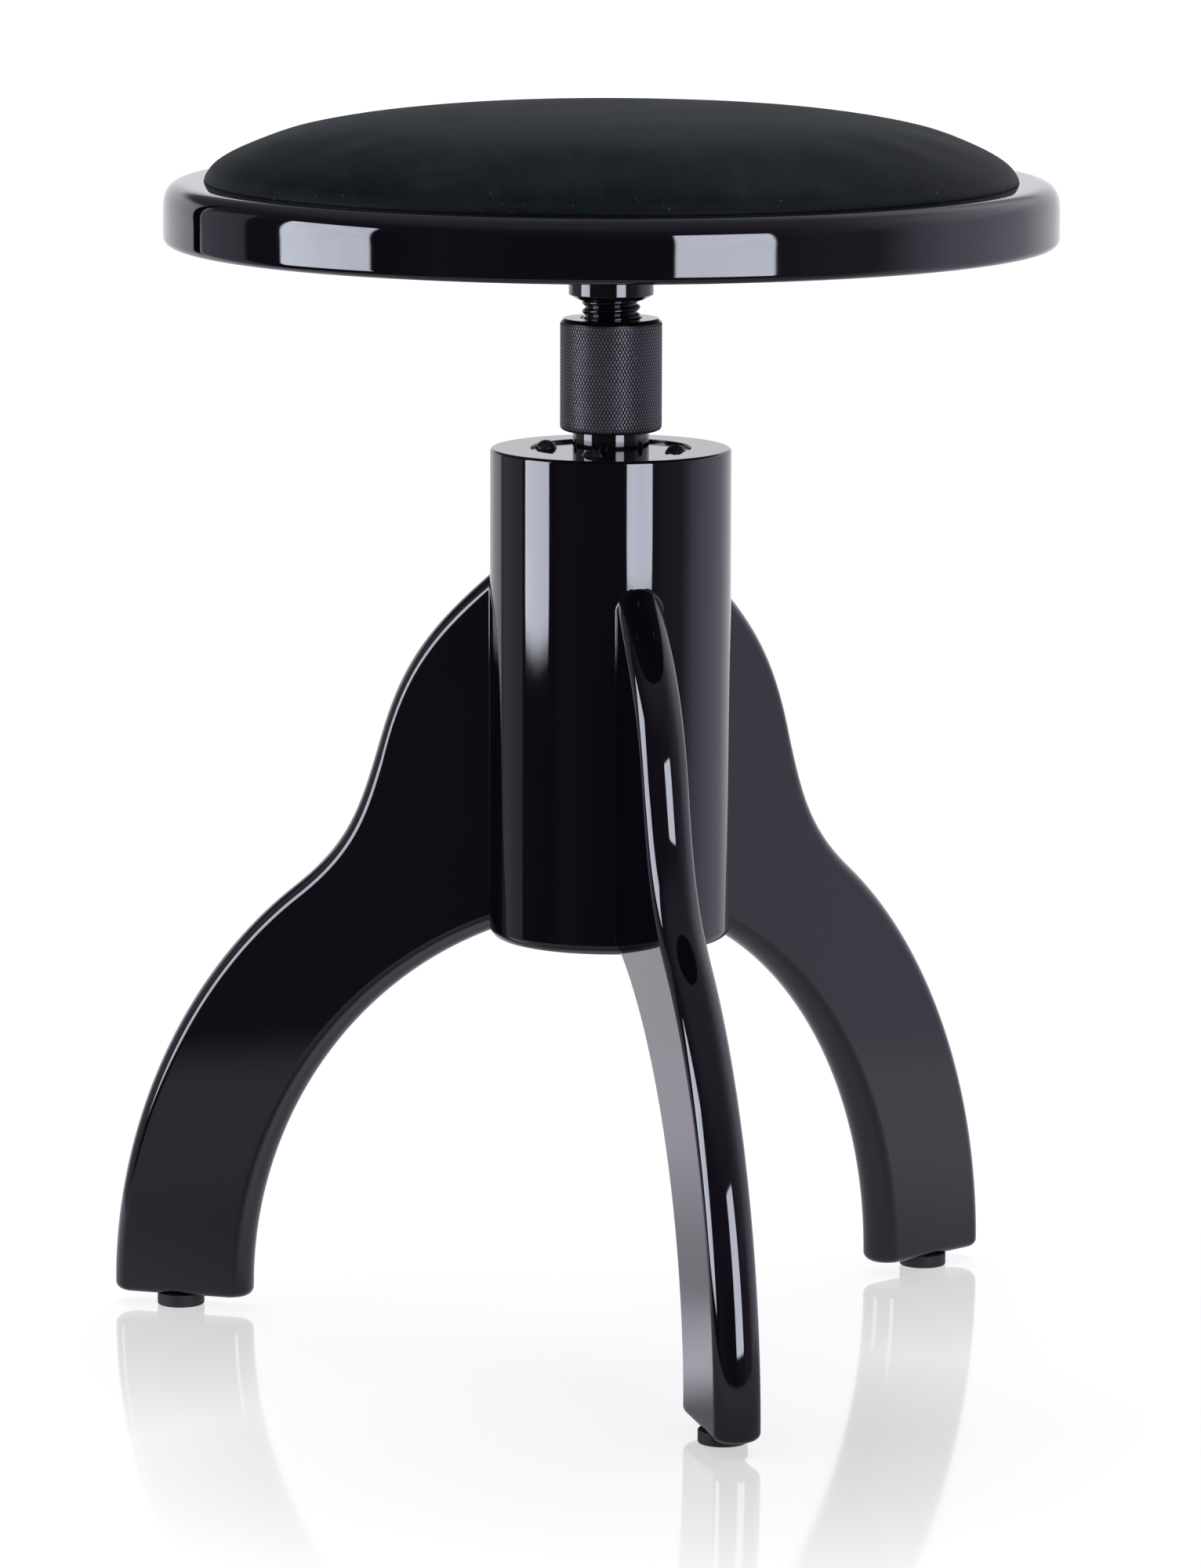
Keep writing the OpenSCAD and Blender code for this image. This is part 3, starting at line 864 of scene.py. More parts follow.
@dataclass
class Column:
    """The turned column with its flange and guide tube, in millimetres."""

    radius: float = 47.5
    bottom: float = 162.0
    top: float = 356.3
    top_round: float = 1.4
    foot_round: float = 4.0
    bore_radius: float = 15.1
    bore_bottom: float = 201.3
    pocket_radius: float = 31.5
    pocket_round: float = 0.4
    flange_radius: float = 31.25
    flange_bore: float = 15.1
    flange_round: float = 0.35
    flange_top: float = 355.2
    flange_bottom: float = 351.2
    tube_radius: float = 15.0
    tube_bore: float = 13.5
    tube_bottom: float = 206.3
    tube_top: float = 384.0

    def build(self, finishes: Finishes) -> None:
        """Makes the column, the flange and the tube."""
        column = [
            (0, self.bottom, 0), (self.radius, self.bottom, self.foot_round),
            (self.radius, self.top, self.top_round), (self.pocket_radius, self.top, self.pocket_round),
            (self.pocket_radius, self.flange_bottom, 0), (self.bore_radius, self.flange_bottom, 0),
            (self.bore_radius, self.bore_bottom, 0), (0, self.bore_bottom, 0),
        ]
        flange = [
            (self.flange_bore, self.flange_bottom, 0), (self.flange_radius, self.flange_bottom, 0),
            (self.flange_radius, self.flange_top, self.flange_round), (self.flange_bore, self.flange_top, 0),
        ]
        tube = [
            (self.tube_bore, self.tube_bottom, 0), (self.tube_radius, self.tube_bottom, 0),
            (self.tube_radius, self.tube_top, 0), (self.tube_bore, self.tube_top, 0),
        ]
        turned_piece("turned_column", column, "base", finishes.lacquer, "column", 9, 256)
        turned_piece("flange_disc", flange, "base", finishes.enamel, "tube_flange", 4, 192)
        turned_piece("tube", tube, "base", finishes.enamel, "guide_tube")


# Legs


@dataclass(frozen=True)
class Sweep:
    """A cubic curve that leaves one point at a slope and reaches another at a slope."""

    points: np.ndarray

    @staticmethod
    def between(start: Point, start_slope: float, end: Point, end_slope: float, pull: float) -> "Sweep":
        """Makes the curve.

        Args:
            start: distance from the axis and height of its start.
            start_slope: its slope there, in degrees below level.
            end: distance from the axis and height of its end.
            end_slope: its slope there.
            pull: how far the slopes hold, as a share of the distance between the ends.

        Returns:
            The curve.
        """
        p, q = np.array(start, float), np.array(end, float)
        reach = pull * np.linalg.norm(q - p)
        return Sweep(np.array([p, p + reach * heading(start_slope), q - reach * heading(end_slope), q]))

    def point(self, t: float) -> np.ndarray:
        """Returns the point at a share of the curve."""
        weights = [(1 - t) ** 3, 3 * t * (1 - t) ** 2, 3 * t * t * (1 - t), t**3]
        return np.array(weights) @ self.points

    def way(self, t: float) -> np.ndarray:
        """Returns the curve's direction at a share of it."""
        steps = np.diff(self.points, axis=0)
        way = np.array([(1 - t) ** 2, 2 * t * (1 - t), t * t]) @ steps
        return way / np.linalg.norm(way)


def heading(slope: float) -> np.ndarray:
    """Returns the direction at a slope in degrees below level."""
    angle = math.radians(slope)
    return np.array([math.cos(angle), -math.sin(angle)])


@dataclass(frozen=True)
class Station:
    """Where a cut across a leg meets its outer edge and its underside."""

    outer: np.ndarray
    under: np.ndarray
    outer_stretch: float
    under_stretch: float

    @property
    def across(self) -> np.ndarray:
        """The direction from the outer edge to the underside."""
        span = self.under - self.outer
        return span / np.linalg.norm(span)


@dataclass
class Legs:
    """Three S-shaped boards with crowned edges, in millimetres.

    A leg's outer edge runs in three curves, from the column over a shoulder and a waist to the
    foot, and its underside is one curve. For each of the three, under_shares holds where the
    stretch of the underside across from it starts and ends, and how much of it is eased.
    """

    column_radius: float = 47.48
    thickness: float = 18.3
    crown_round: float = 11.5
    crown_turn: float = 25.0
    shoulder_round: float = 8.5
    shoulder_turn: float = 58.0
    foot_round: float = 3.5
    seam_round: float = 0.9
    seam_fade: float = 16.0
    seam_guard: float = 0.35
    flank_guard: float = 0.4
    top: float = 306.2
    under_top: float = 162.0
    bottom: float = 5.0
    reach: float = 208.3
    foot_width: float = 58.0
    shoulder: Point = (94.4, 238.5)
    waist: Point = (131.3, 175.2)
    start_radius: float = 47.5
    top_slope: float = 41.3
    shoulder_slope: float = 73.5
    waist_slope: float = 38.8
    foot_slope: float = 90.0
    under_slope: float = 22.0
    pulls: Triple = (0.40, 0.42, 0.34)
    under_pull: float = 0.36
    under_shares: tuple[Triple, ...] = ((0.0, 0.16, 0.875), (0.16, 0.34, 0.0), (0.34, 1.0, 0.0))
    steps: tuple[int, int, int] = (16, 18, 44)
    arc_steps: tuple[int, int, int] = (4, 7, 5)
    round_steps: int = 8
    cap_inside: int = 5
    pad_radius: float = 9.5
    pad_reach: float = 181.0
    pad_round: float = 0.6
    pad_top_round: float = 0.3

    def stations(self) -> list[Station]:
        """Returns the cuts along a leg, from the column to the foot."""
        foot_height = self.bottom + self.foot_round
        knots = ((self.start_radius, self.top), self.shoulder, self.waist, (self.reach, foot_height))
        slopes = (self.top_slope, self.shoulder_slope, self.waist_slope, self.foot_slope)
        under = Sweep.between(
            (self.start_radius, self.under_top), self.under_slope,
            (self.reach - self.foot_width, foot_height), self.foot_slope, self.under_pull,
        )
        found = []
        for k, (count, pull) in enumerate(zip(self.steps, self.pulls)):
            outer = Sweep.between(knots[k], slopes[k], knots[k + 1], slopes[k + 1], pull)
            first, last, ease = self.under_shares[k]
            ends = count + (k == len(self.steps) - 1)
            for i in range(ends):
                t = i / count
                s = first + (last - first) * ((1 - ease) * t + ease * (1 - (1 - t) ** 2))
                p, q = outer.point(t), under.point(s)
                u = (q - p) / np.linalg.norm(q - p)
                found.append(Station(p, q, 1 / abs(cross(u, outer.way(t))), 1 / abs(cross(u, under.way(s)))))
        return found

    def edge(self, trim: float) -> list[Point]:
        """The crowned edge of the board: a wide arc, a smaller one on each side, and a small corner.

        Args:
            trim: how far the outline is drawn in.

        Returns:
            Distance from the board's middle plane and depth below the edge's highest line,
            from the middle to the flank.
        """
        first, second = math.radians(self.crown_turn), math.radians(self.shoulder_turn)
        wide = self.crown_round * math.sin(first) + self.shoulder_round * (math.sin(second) - math.sin(first))
        corner = (self.thickness / 2 - wide) / (1 - math.sin(second))
        radii, turns = (self.crown_round, self.shoulder_round, corner), (0.0, first, second, math.pi / 2)
        side, depth, found = 0.0, trim, [(0.0, trim)]
        for radius, start, end, steps in zip(radii, turns, turns[1:], self.arc_steps):
            stops = [start + (end - start) * i / steps for i in range(steps + 1)]
            for before, after in zip(stops, stops[1:]):
                side += (radius - trim) * (math.sin(after) - math.sin(before))
                depth += (radius - trim) * (math.cos(before) - math.cos(after))
                found.append((side, depth))
        return found

    def ring(self, station: Station, trim: float = 0.0) -> np.ndarray:
        """The rounded outline of a cut.

        Args:
            station: the cut.
            trim: how far the outline is drawn in.

        Returns:
            Points (distance from the axis, sideways, height), from the middle of the outer
            edge over one flank to the middle of the underside and back over the other.
        """
        edge = self.edge(trim)
        half, depth = edge[-1]
        from_outer = station.outer_stretch * station.across
        from_under = station.under_stretch * station.across
        high = station.outer + (depth + self.flank_guard) * from_outer
        low = station.under - (depth + self.flank_guard) * from_under
        side = [(station.outer + d * from_outer, y) for y, d in edge]
        side += [(high + share * (low - high), half) for share in (0, 1 / 3, 2 / 3, 1)]
        side += [(station.under - d * from_under, y) for y, d in reversed(edge)]
        near = [(p[0], y, p[1]) for p, y in side]
        far = [(x, -y, z) for x, y, z in near[-2:0:-1]]
        return np.array(near + far)

    def seam_ring(self, station: Station, distance: float, swell: float) -> np.ndarray:
        """The outline of a leg at its seam, moved along the leg's slopes onto the column.

        Args:
            station: the first cut.
            distance: distance out from the column.
            swell: how far the lacquer that fills the corner stands out from the leg.

        Returns:
            Points as those of ring().
        """
        plain, wide = self.ring(station), self.ring(station, -swell)
        high, low = plain[:, 2].max(), plain[:, 2].min()
        filled = smooth(np.clip((plain[:, 2] - low) / self.seam_fade, 0, 1))
        ring = plain + (wide - plain) * filled[:, None]
        for point in ring:
            share = min(max((high - point[2]) / (high - low), 0.0), 1.0)
            slope = math.radians(self.top_slope + (self.under_slope - self.top_slope) * share)
            reach = math.sqrt(self.column_radius**2 - point[1] ** 2) + distance
            point[2] -= (reach - point[0]) * math.tan(slope)
            point[0] = reach
        return ring

    def cap(self, points: list, ring: Sequence[int], on_column: bool) -> list[list[int]]:
        """Closes a ring with strips from one flank to the other.

        Args:
            points: all vertices, to which those of the cap are added.
            ring: the vertices of the ring.
            on_column: whether the cap follows the column's curve.

        Returns:
            The faces.
        """
        count, inside = len(ring), self.cap_inside
        rows = []
        for k in range(count // 2 + 1):
            a, b = ring[k], ring[-k % count]
            if a == b:
                rows.append([a] * (inside + 2))
                continue
            row = [a]
            for i in range(1, inside + 1):
                place = np.array(points[a]) + (np.array(points[b]) - np.array(points[a])) * i / (inside + 1)
                if on_column:
                    place[0] = math.sqrt(self.column_radius**2 - place[1] ** 2)
                row.append(len(points))
                points.append(tuple(place))
            rows.append(row + [b])
        return [face for low, high in zip(rows, rows[1:]) for face in strip(low, high)]

    def board(self, name: str, angle: float) -> bpy.types.Mesh:
        """Makes one leg.

        Args:
            name: the mesh's name.
            angle: the leg's direction, in degrees from +X.

        Returns:
            The closed mesh.
        """
        stations = self.stations()
        turns = [math.pi / 2 * i / self.round_steps for i in range(self.round_steps + 1)]
        rings = []
        for a in turns:
            distance, swell = (self.seam_round * (1 - f(a)) for f in (math.cos, math.sin))
            rings.append(self.seam_ring(stations[0], distance, swell))
        rings.append(self.seam_ring(stations[0], self.seam_round + self.seam_guard, 0.0))
        clear = self.column_radius + self.seam_round + 2 * self.seam_guard
        rings += [self.ring(s) for s in stations[1:] if min(s.outer[0], s.under[0]) > clear]
        foot = self.ring(stations[-1])
        centre = (foot.max(axis=0) + foot.min(axis=0)) / 2
        halves = (foot.max(axis=0) - foot.min(axis=0)) / 2
        for a in turns[1:]:
            trim = self.foot_round * (1 - math.cos(a))
            low = centre + (foot - centre) * [1 - trim / halves[0], 1 - trim / halves[1], 1.0]
            rings.append(low - [0.0, 0.0, self.foot_round * math.sin(a)])
        count = len(rings[0])
        points = [tuple(p) for ring in rings for p in ring]
        rows = [list(range(k * count, (k + 1) * count)) for k in range(len(rings))]
        faces = [face for low, high in zip(rows, rows[1:]) for face in strip(low, high, closed=True)]
        faces += self.cap(points, rows[0], on_column=True)
        faces += [face[::-1] for face in self.cap(points, rows[-1], on_column=False)]
        turn = np.array(Matrix.Rotation(math.radians(angle), 3, "Z"))
        return mesh_from(name, np.array(points) @ turn.T, faces)

    def pad(self, name: str, angle: float) -> bpy.types.Mesh:
        """Makes one foot pad. Returns its closed mesh."""
        outline = [
            (0, 0, 0), (self.pad_radius, 0, self.pad_round),
            (self.pad_radius, self.bottom, self.pad_top_round), (0, self.bottom, 0),
        ]
        mesh = revolved(name, rounded(outline, 5), 96)
        turn = Matrix.Rotation(math.radians(angle), 4, "Z")
        mesh.transform(turn @ Matrix.Translation((self.pad_reach * MM, 0, 0)))
        return mesh

    def build(self, finishes: Finishes) -> None:
        """Makes the legs and their pads."""
        for side, angle in LEG_ANGLES.items():
            board, pad = self.board(f"{side}_board", angle), self.pad(f"{side}_pad", angle)
            place_piece(f"{side}_board", board, "base", finishes.lacquer, [f"{side}_leg"])
            place_piece(f"{side}_pad", pad, "base", finishes.rubber, [f"{side}_foot"])


def cross(a: np.ndarray, b: np.ndarray) -> float:
    """Returns the cross product of two flat directions."""
    return float(a[0] * b[1] - a[1] * b[0])


# Spindle and lock


@dataclass
class Spindle:
    """The threaded spindle with its hub, in millimetres."""

    radius: float = 11.5
    thread_depth: float = 1.35
    thread_fullness: float = 1.3
    pitch: float = 3.3
    bottom: float = 246.8
    top: float = 437.0
    thread_top: float = 416.4
    hub_bore: float = 11.6
    hub_radius: float = 16.7
    hub_bottom: float = 414.8
    hub_top: float = 434.0
    chamfer_width: float = 3.2
    chamfer_height: float = 1.9
    inner_round: float = 0.3
    outer_round: float = 0.4
    weld: float = 0.001
    segments: int = 72
    steps: int = 12

    def thread(self, material: bpy.types.Material) -> bpy.types.Mesh:
        """Makes the right-hand thread. Returns its mesh, open at both ends."""
        tree = Geometry("spindle_thread")
        segments = tree.count("Segments", self.segments)
        steps = tree.count("Steps per turn", self.steps)
        turns = tree.count("Turns", math.ceil((self.thread_top - self.bottom) / self.pitch) + 1)
        pitch, depth = tree.size("Pitch", self.pitch * MM), tree.size("Depth", self.thread_depth * MM)
        radius, weld = tree.size("Radius", self.radius * MM), tree.size("Weld", self.weld * MM)
        bottom, top = tree.size("Bottom", self.bottom * MM), tree.size("Top", self.thread_top * MM)
        mesh, across, up = tree.grid(segments + 1, steps * turns + 1)
        row = (up * steps * turns).apply("ROUND")
        height = bottom - pitch + pitch * (row / steps + across)
        held = height.apply("MAXIMUM", bottom).apply("MINIMUM", top)
        inside = (height > bottom + weld) * (height < top - weld)
        wave = 0.5 + 0.5 * ((row / steps) * (2 * math.pi)).apply("COSINE")
        crest = 1 - (1 - wave) ** self.thread_fullness
        thread = tree.wrapped(mesh, across * (2 * math.pi), radius - depth * (1 - crest * inside), held)
        thread = tree.node("GeometryNodeMergeByDistance", {}, {"Geometry": thread, "Distance": weld})
        return tree.made(thread, material)

    def build(self, finishes: Finishes) -> None:
        """Makes the spindle and the hub."""
        thread = self.thread(finishes.thread)
        shape = bmesh.new()
        shape.from_mesh(thread)
        bmesh.ops.remove_doubles(shape, verts=shape.verts, dist=2 * self.weld * MM)
        bmesh.ops.dissolve_degenerate(shape, dist=0.1 * self.weld * MM, edges=shape.edges)
        rims = [e for e in shape.edges if e.is_boundary]
        low = [e for e in rims if e.verts[0].co.z < (self.bottom + 1) * MM]
        high = [e for e in rims if e.verts[0].co.z > (self.thread_top - 1) * MM]
        bmesh.ops.contextual_create(shape, geom=low)
        raised = bmesh.ops.extrude_edge_only(shape, edges=high)["geom"]
        for vertex in (g for g in raised if isinstance(g, bmesh.types.BMVert)):
            vertex.co.z = self.top * MM
        bmesh.ops.contextual_create(shape, geom=[g for g in raised if isinstance(g, bmesh.types.BMEdge)])
        bmesh.ops.recalc_face_normals(shape, faces=shape.faces)
        shape.to_mesh(thread)
        shape.free()
        place_piece(
            "threaded_spindle", thread, "seat", finishes.thread, ["spindle"], sharp=50.0
        )
        hub = [
            (self.hub_bore, self.hub_bottom, 0),
            (self.hub_radius - self.chamfer_width, self.hub_bottom, self.inner_round),
            (self.hub_radius, self.hub_bottom + self.chamfer_height, self.outer_round),
            (self.hub_radius, self.hub_top, 0), (self.hub_bore, self.hub_top, 0),
        ]
        turned_piece("hub", hub, "seat", finishes.enamel, "spindle_hub")


@dataclass
class LockSleeve:
    """The knurled sleeve that locks the spindle, in millimetres."""

    radius: float = 20.0
    bottom: float = 363.1
    top: float = 407.4
    foot_round: float = 2.0
    chamfer: float = 1.5
    bore: float = 11.8
    bore_chamfer: float = 0.6
    wide_bore: float = 15.3
    step: float = 386.0
    knurl_depth: float = 0.24
    knurl_low: float = 363.55
    knurl_high: float = 405.7
    knurl_rim: float = 0.15
    plateau: float = 0.65
    weld: float = 0.02
    starts: int = 94
    rows: int = 34

    def skin(self, height: float) -> float:
        """Returns the radius of the sleeve's outside at a height, rounded at its foot."""
        sunk = min(max(self.bottom + self.foot_round - height, 0.0), self.foot_round)
        return self.radius - self.foot_round + math.sqrt(self.foot_round**2 - sunk**2)

    def knurl(self, top: bpy.types.Material, groove: bpy.types.Material) -> bpy.types.Mesh:
        """Makes the band of flat-topped diamonds between crossed grooves.

        Args:
            top: finish of the diamonds' tops.
            groove: finish of the grooves, a much darker copy of the tops' oxide that paints shade into them.

        Returns:
            The band, which is open and toothed at both ends.
        """
        tree = Geometry("diamond_knurl")
        starts, rows = tree.count("Starts", self.starts), tree.count("Rows", self.rows - 1)
        radius, depth = tree.size("Radius", self.radius * MM), tree.size("Depth", self.knurl_depth * MM)
        low = tree.size("Bottom", self.knurl_low * MM)
        rise = tree.size("Row height", (self.knurl_high - self.knurl_low) / self.rows * MM)
        foot = tree.size("Foot", self.bottom * MM)
        foot_round = tree.size("Foot rounding", self.foot_round * MM)
        plateau = tree.size("Plateau", self.plateau)
        cone = tree.node("GeometryNodeMeshCone", {"fill_type": "NGON"}, {
            "Vertices": 4, "Radius Top": plateau, "Radius Bottom": 1.0, "Depth": depth,
        })
        is_top, is_bottom = (Value(tree, cone.socket.node.outputs[side]) for side in ("Top", "Bottom"))
        tile = tree.node(
            "GeometryNodeDeleteGeometry", {"domain": "FACE"}, {"Geometry": cone, "Selection": is_bottom}
        )
        mesh, across, up = tree.grid(starts, rows)
        column, row = (across * (starts - 1)).apply("ROUND"), (up * (rows - 1)).apply("ROUND")
        turn = 2 * math.pi / starts
        spots = tree.wrapped(mesh, (column + (row % 2) / 2) * turn, radius - depth, low + rise * (row + 1))
        x, y, height = tree.split(tree.node("GeometryNodeInputPosition"))
        angle = y.apply("ARCTAN2", x)
        half_width = (radius - depth) * (turn / 2).apply("SINE")
        band = tree.node("GeometryNodeInstanceOnPoints", {}, {
            "Points": spots, "Instance": tile,
            "Rotation": tree.vector(math.pi / 2, 0.0, angle + math.pi / 2),
            "Scale": tree.vector(half_width, rise, 1.0),
        })
        band = tree.node("GeometryNodeRealizeInstances", {}, {0: band})
        sunk = (foot + foot_round - height).apply("MAXIMUM", 0.0).apply("MINIMUM", foot_round)
        fall = foot_round - (foot_round * foot_round - sunk * sunk) ** 0.5
        band = tree.wrapped(band, angle, (x * x + y * y) ** 0.5 - fall, height)
        return tree.made(band, groove, (is_top, top))

    def build(self, finishes: Finishes) -> None:
        """Makes the sleeve: a turned body whose outer wall gives way to the knurled band."""
        edge = [
            (self.wide_bore, self.bottom), (self.radius - self.foot_round, self.bottom),
            (self.skin(self.knurl_low) - self.knurl_depth, self.knurl_low),
            (self.radius - self.knurl_depth, self.knurl_high),
            (self.radius, self.knurl_high + self.knurl_rim), (self.radius, self.top - self.chamfer),
            (self.radius - self.chamfer, self.top), (self.bore + self.bore_chamfer, self.top),
            (self.bore, self.top - self.bore_chamfer), (self.bore, self.step), (self.wide_bore, self.step),
        ]
        lathe = revolved("sleeve_lathe", edge, self.starts)
        lathe.materials.append(finishes.turned)
        band = self.knurl(finishes.knurl, finishes.groove)
        sleeve = joined("knurled_sleeve", [lathe, band], self.weld * MM)
        shape = bmesh.new()
        shape.from_mesh(sleeve)
        low, high = (self.knurl_low + self.weld) * MM, (self.knurl_high - self.weld) * MM
        between_bore_and_wall = (self.wide_bore + self.radius) / 2 * MM
        wall = [
            f for f in shape.faces
            if min(v.co.z for v in f.verts) < low and max(v.co.z for v in f.verts) > high
            and f.calc_center_median().xy.length > between_bore_and_wall
        ]
        bmesh.ops.delete(shape, geom=wall, context="FACES")
        teeth = bmesh.ops.holes_fill(shape, edges=[e for e in shape.edges if e.is_boundary], sides=3)
        # The filled teeth at the band's ends take the grooves' darker copy too: painted shade.
        for face in teeth["faces"]:
            face.material_index = sleeve.materials.find(finishes.groove.name)
        bmesh.ops.recalc_face_normals(shape, faces=shape.faces)
        shape.to_mesh(sleeve)
        shape.free()
        place_piece("knurled_sleeve", sleeve, "lock", None, ["lock_sleeve"], sharp=12.0)


# Seat


@dataclass
class Seat:
    """The turned seat base with its plate, in millimetres."""

    radius: float = 175.0
    bottom: float = 437.0
    top: float = 461.2
    round_width: float = 10.0
    round_height: float = 12.6
    fullness: float = 3.0
    foot_round: float = 3.0
    recess_radius: float = 158.8
    recess_round: float = 0.3
    recess_floor: float = 451.2
    plate_bore: float = 12.1
    plate_radius: float = 75.0
    plate_round: float = 0.8
    plate_bottom: float = 434.0

    def domed_edge(self, steps: int = 40) -> list[Triple]:
        """Returns the domed top edge, from the side inwards, as corners without rounding."""
        corners = []
        for i in range(steps + 1):
            a = math.pi / 2 * i / steps
            across, up = (max(0.0, f(a)) ** (2 / self.fullness) for f in (math.cos, math.sin))
            corners.append((
                self.radius - self.round_width * (1 - across), self.top - self.round_height * (1 - up), 0.0
            ))
        return corners

    def build(self, finishes: Finishes) -> None:
        """Makes the seat base and the plate."""
        base = [
            (0, self.bottom, 0), (self.radius, self.bottom, self.foot_round), *self.domed_edge(),
            (self.recess_radius, self.top, self.recess_round), (self.recess_radius, self.recess_floor, 0),
            (0, self.recess_floor, 0),
        ]
        plate = [
            (self.plate_bore, self.plate_bottom, 0), (self.plate_radius, self.plate_bottom, self.plate_round),
            (self.plate_radius, self.bottom, 0), (self.plate_bore, self.bottom, 0),
        ]
        turned_piece("turned_seat", base, "seat", finishes.lacquer, "seat_base", 12, 360)
        turned_piece("round_plate", plate, "seat", finishes.plate, "seat_plate")


@dataclass
class Cushion:
    """The upholstered cushion, in millimetres."""

    radius: float = 159.1
    seat_top: float = 461.2
    crown: float = 28.8
    widest: float = 0.5
    foot_radius: float = 158.7
    foot_steps: int = 6
    fullness: float = 2.5
    hem: float = 451.5
    hem_round: float = 0.6
    hem_width: float = 22.0
    cover: float = 1.2
    cavity_radius: float = 157.05
    board_top: float = 462.0
    board_gap: float = 0.3
    slack: float = 0.9
    voxel: float = 5.0
    pressure: float = 4.0
    held_height: float = 0.4
    frames: int = 20
    segments: int = 320
    waves: int = 9
    unevenness: float = 0.35
    gathers: int = 34
    gather_depth: float = 0.2
    gather_height: float = 9.0
    foot_fade: float = 4.0
    calm: float = 12.0
    neighbours: int = 40
    seed: int = 11

    def outline(self, inset: float = 0.0, steps: int = 56) -> list[Point]:
        """Returns the crown and the drawn-in side, from the axis outwards."""
        radius, rise = self.radius - inset / 4, self.crown - self.widest - inset
        points = []
        for i in range(steps + 1):
            share = math.sin(math.pi / 2 * i / steps)
            height = rise * math.sqrt(max(0.0, 1 - share**self.fullness))
            points.append((radius * share, self.seat_top + self.widest + height))
        for i in range(1, self.foot_steps + 1):
            a = math.pi / 2 * i / self.foot_steps
            inward, height = (radius - self.foot_radius) * (1 - math.cos(a)), self.widest * (1 - math.sin(a))
            points.append((radius - inward, self.seat_top + height))
        return points

    def cut(self) -> bpy.types.Mesh:
        """Makes the cushion as it is cut, a little smaller than it is filled. Returns its closed mesh."""
        foot, inner = self.foot_radius, self.foot_radius - self.hem_width
        inside, ceiling = self.hem + self.cover, self.board_top + self.board_gap
        outline = self.outline(self.slack)
        outline += [
            (foot, self.hem + self.hem_round), (foot - self.hem_round, self.hem), (inner, self.hem),
            (inner, inside), (self.cavity_radius, inside), (self.cavity_radius, ceiling), (0, ceiling),
        ]
        return revolved("cushion", outline, self.segments)

    def filled(self, mesh: bpy.types.Mesh) -> tuple[np.ndarray, np.ndarray]:
        """Fills a coarse copy of the cushion in a short cloth simulation.

        Args:
            mesh: the cushion as it is cut.

        Returns:
            The coarse copy's vertices before, and how far each of them moves, in metres.
        """
        scene = bpy.context.scene
        passing = linked("passing_cover", mesh.copy())
        voxels = passing.modifiers.new("voxels", "REMESH")
        voxels.mode, voxels.voxel_size = "VOXEL", self.voxel * MM
        coarse = baked(passing)
        passing.modifiers.remove(voxels)
        passing.data = coarse
        start = places(coarse)
        held = passing.vertex_groups.new(name="held")
        low_down = start[:, 2] < (self.seat_top + self.held_height) * MM
        held.add(np.flatnonzero(low_down).tolist(), 1.0, "REPLACE")
        cloth = passing.modifiers.new("cloth", "CLOTH")
        settings = cloth.settings
        settings.quality, settings.mass, settings.vertex_group_mass = 6, 0.2, "held"
        settings.use_pressure, settings.uniform_pressure_force = True, self.pressure
        settings.effector_weights.gravity = 0.0
        cloth.point_cache.frame_start, cloth.point_cache.frame_end = 1, self.frames
        for step in range(1, self.frames + 1):
            scene.frame_set(step)
        moved = places(baked(passing)) - start
        length = np.linalg.norm(moved, axis=1)
        log.info("cloth moved up to %.1f mm before the cap", length.max() / MM)
        moved *= np.minimum(1, self.slack * MM / np.maximum(length, 1e-9))[:, None]
        passing.modifiers.remove(cloth)
        bpy.data.objects.remove(passing)
        scene.frame_set(1)
        return start, moved

    def swelling(self, mesh: bpy.types.Mesh) -> np.ndarray:
        """Carries the coarse copy's swelling over to a fine mesh.

        Args:
            mesh: the cushion as it is cut.

        Returns:
            How far each vertex of the mesh moves, in metres.
        """
        start, moved = self.filled(mesh)
        tree = KDTree(len(start))
        for i, place in enumerate(start):
            tree.insert(place, i)
        tree.balance()
        swell, reach = np.zeros((len(mesh.vertices), 3)), self.calm * MM
        for i, vertex in enumerate(mesh.vertices):
            found = tree.find_n(vertex.co, self.neighbours)
            near = [(index, math.exp(-((gap / reach) ** 2))) for _, index, gap in found]
            total = sum(weight for _, weight in near)
            swell[i] = sum(weight * moved[index] for index, weight in near) / total
        above = np.clip((places(mesh)[:, 2] / MM - self.seat_top) / self.foot_fade, 0, 1)
        inside = np.array([v.normal.z for v in mesh.vertices]) < -0.5
        return swell * np.where(inside, 0, smooth(above))[:, None]

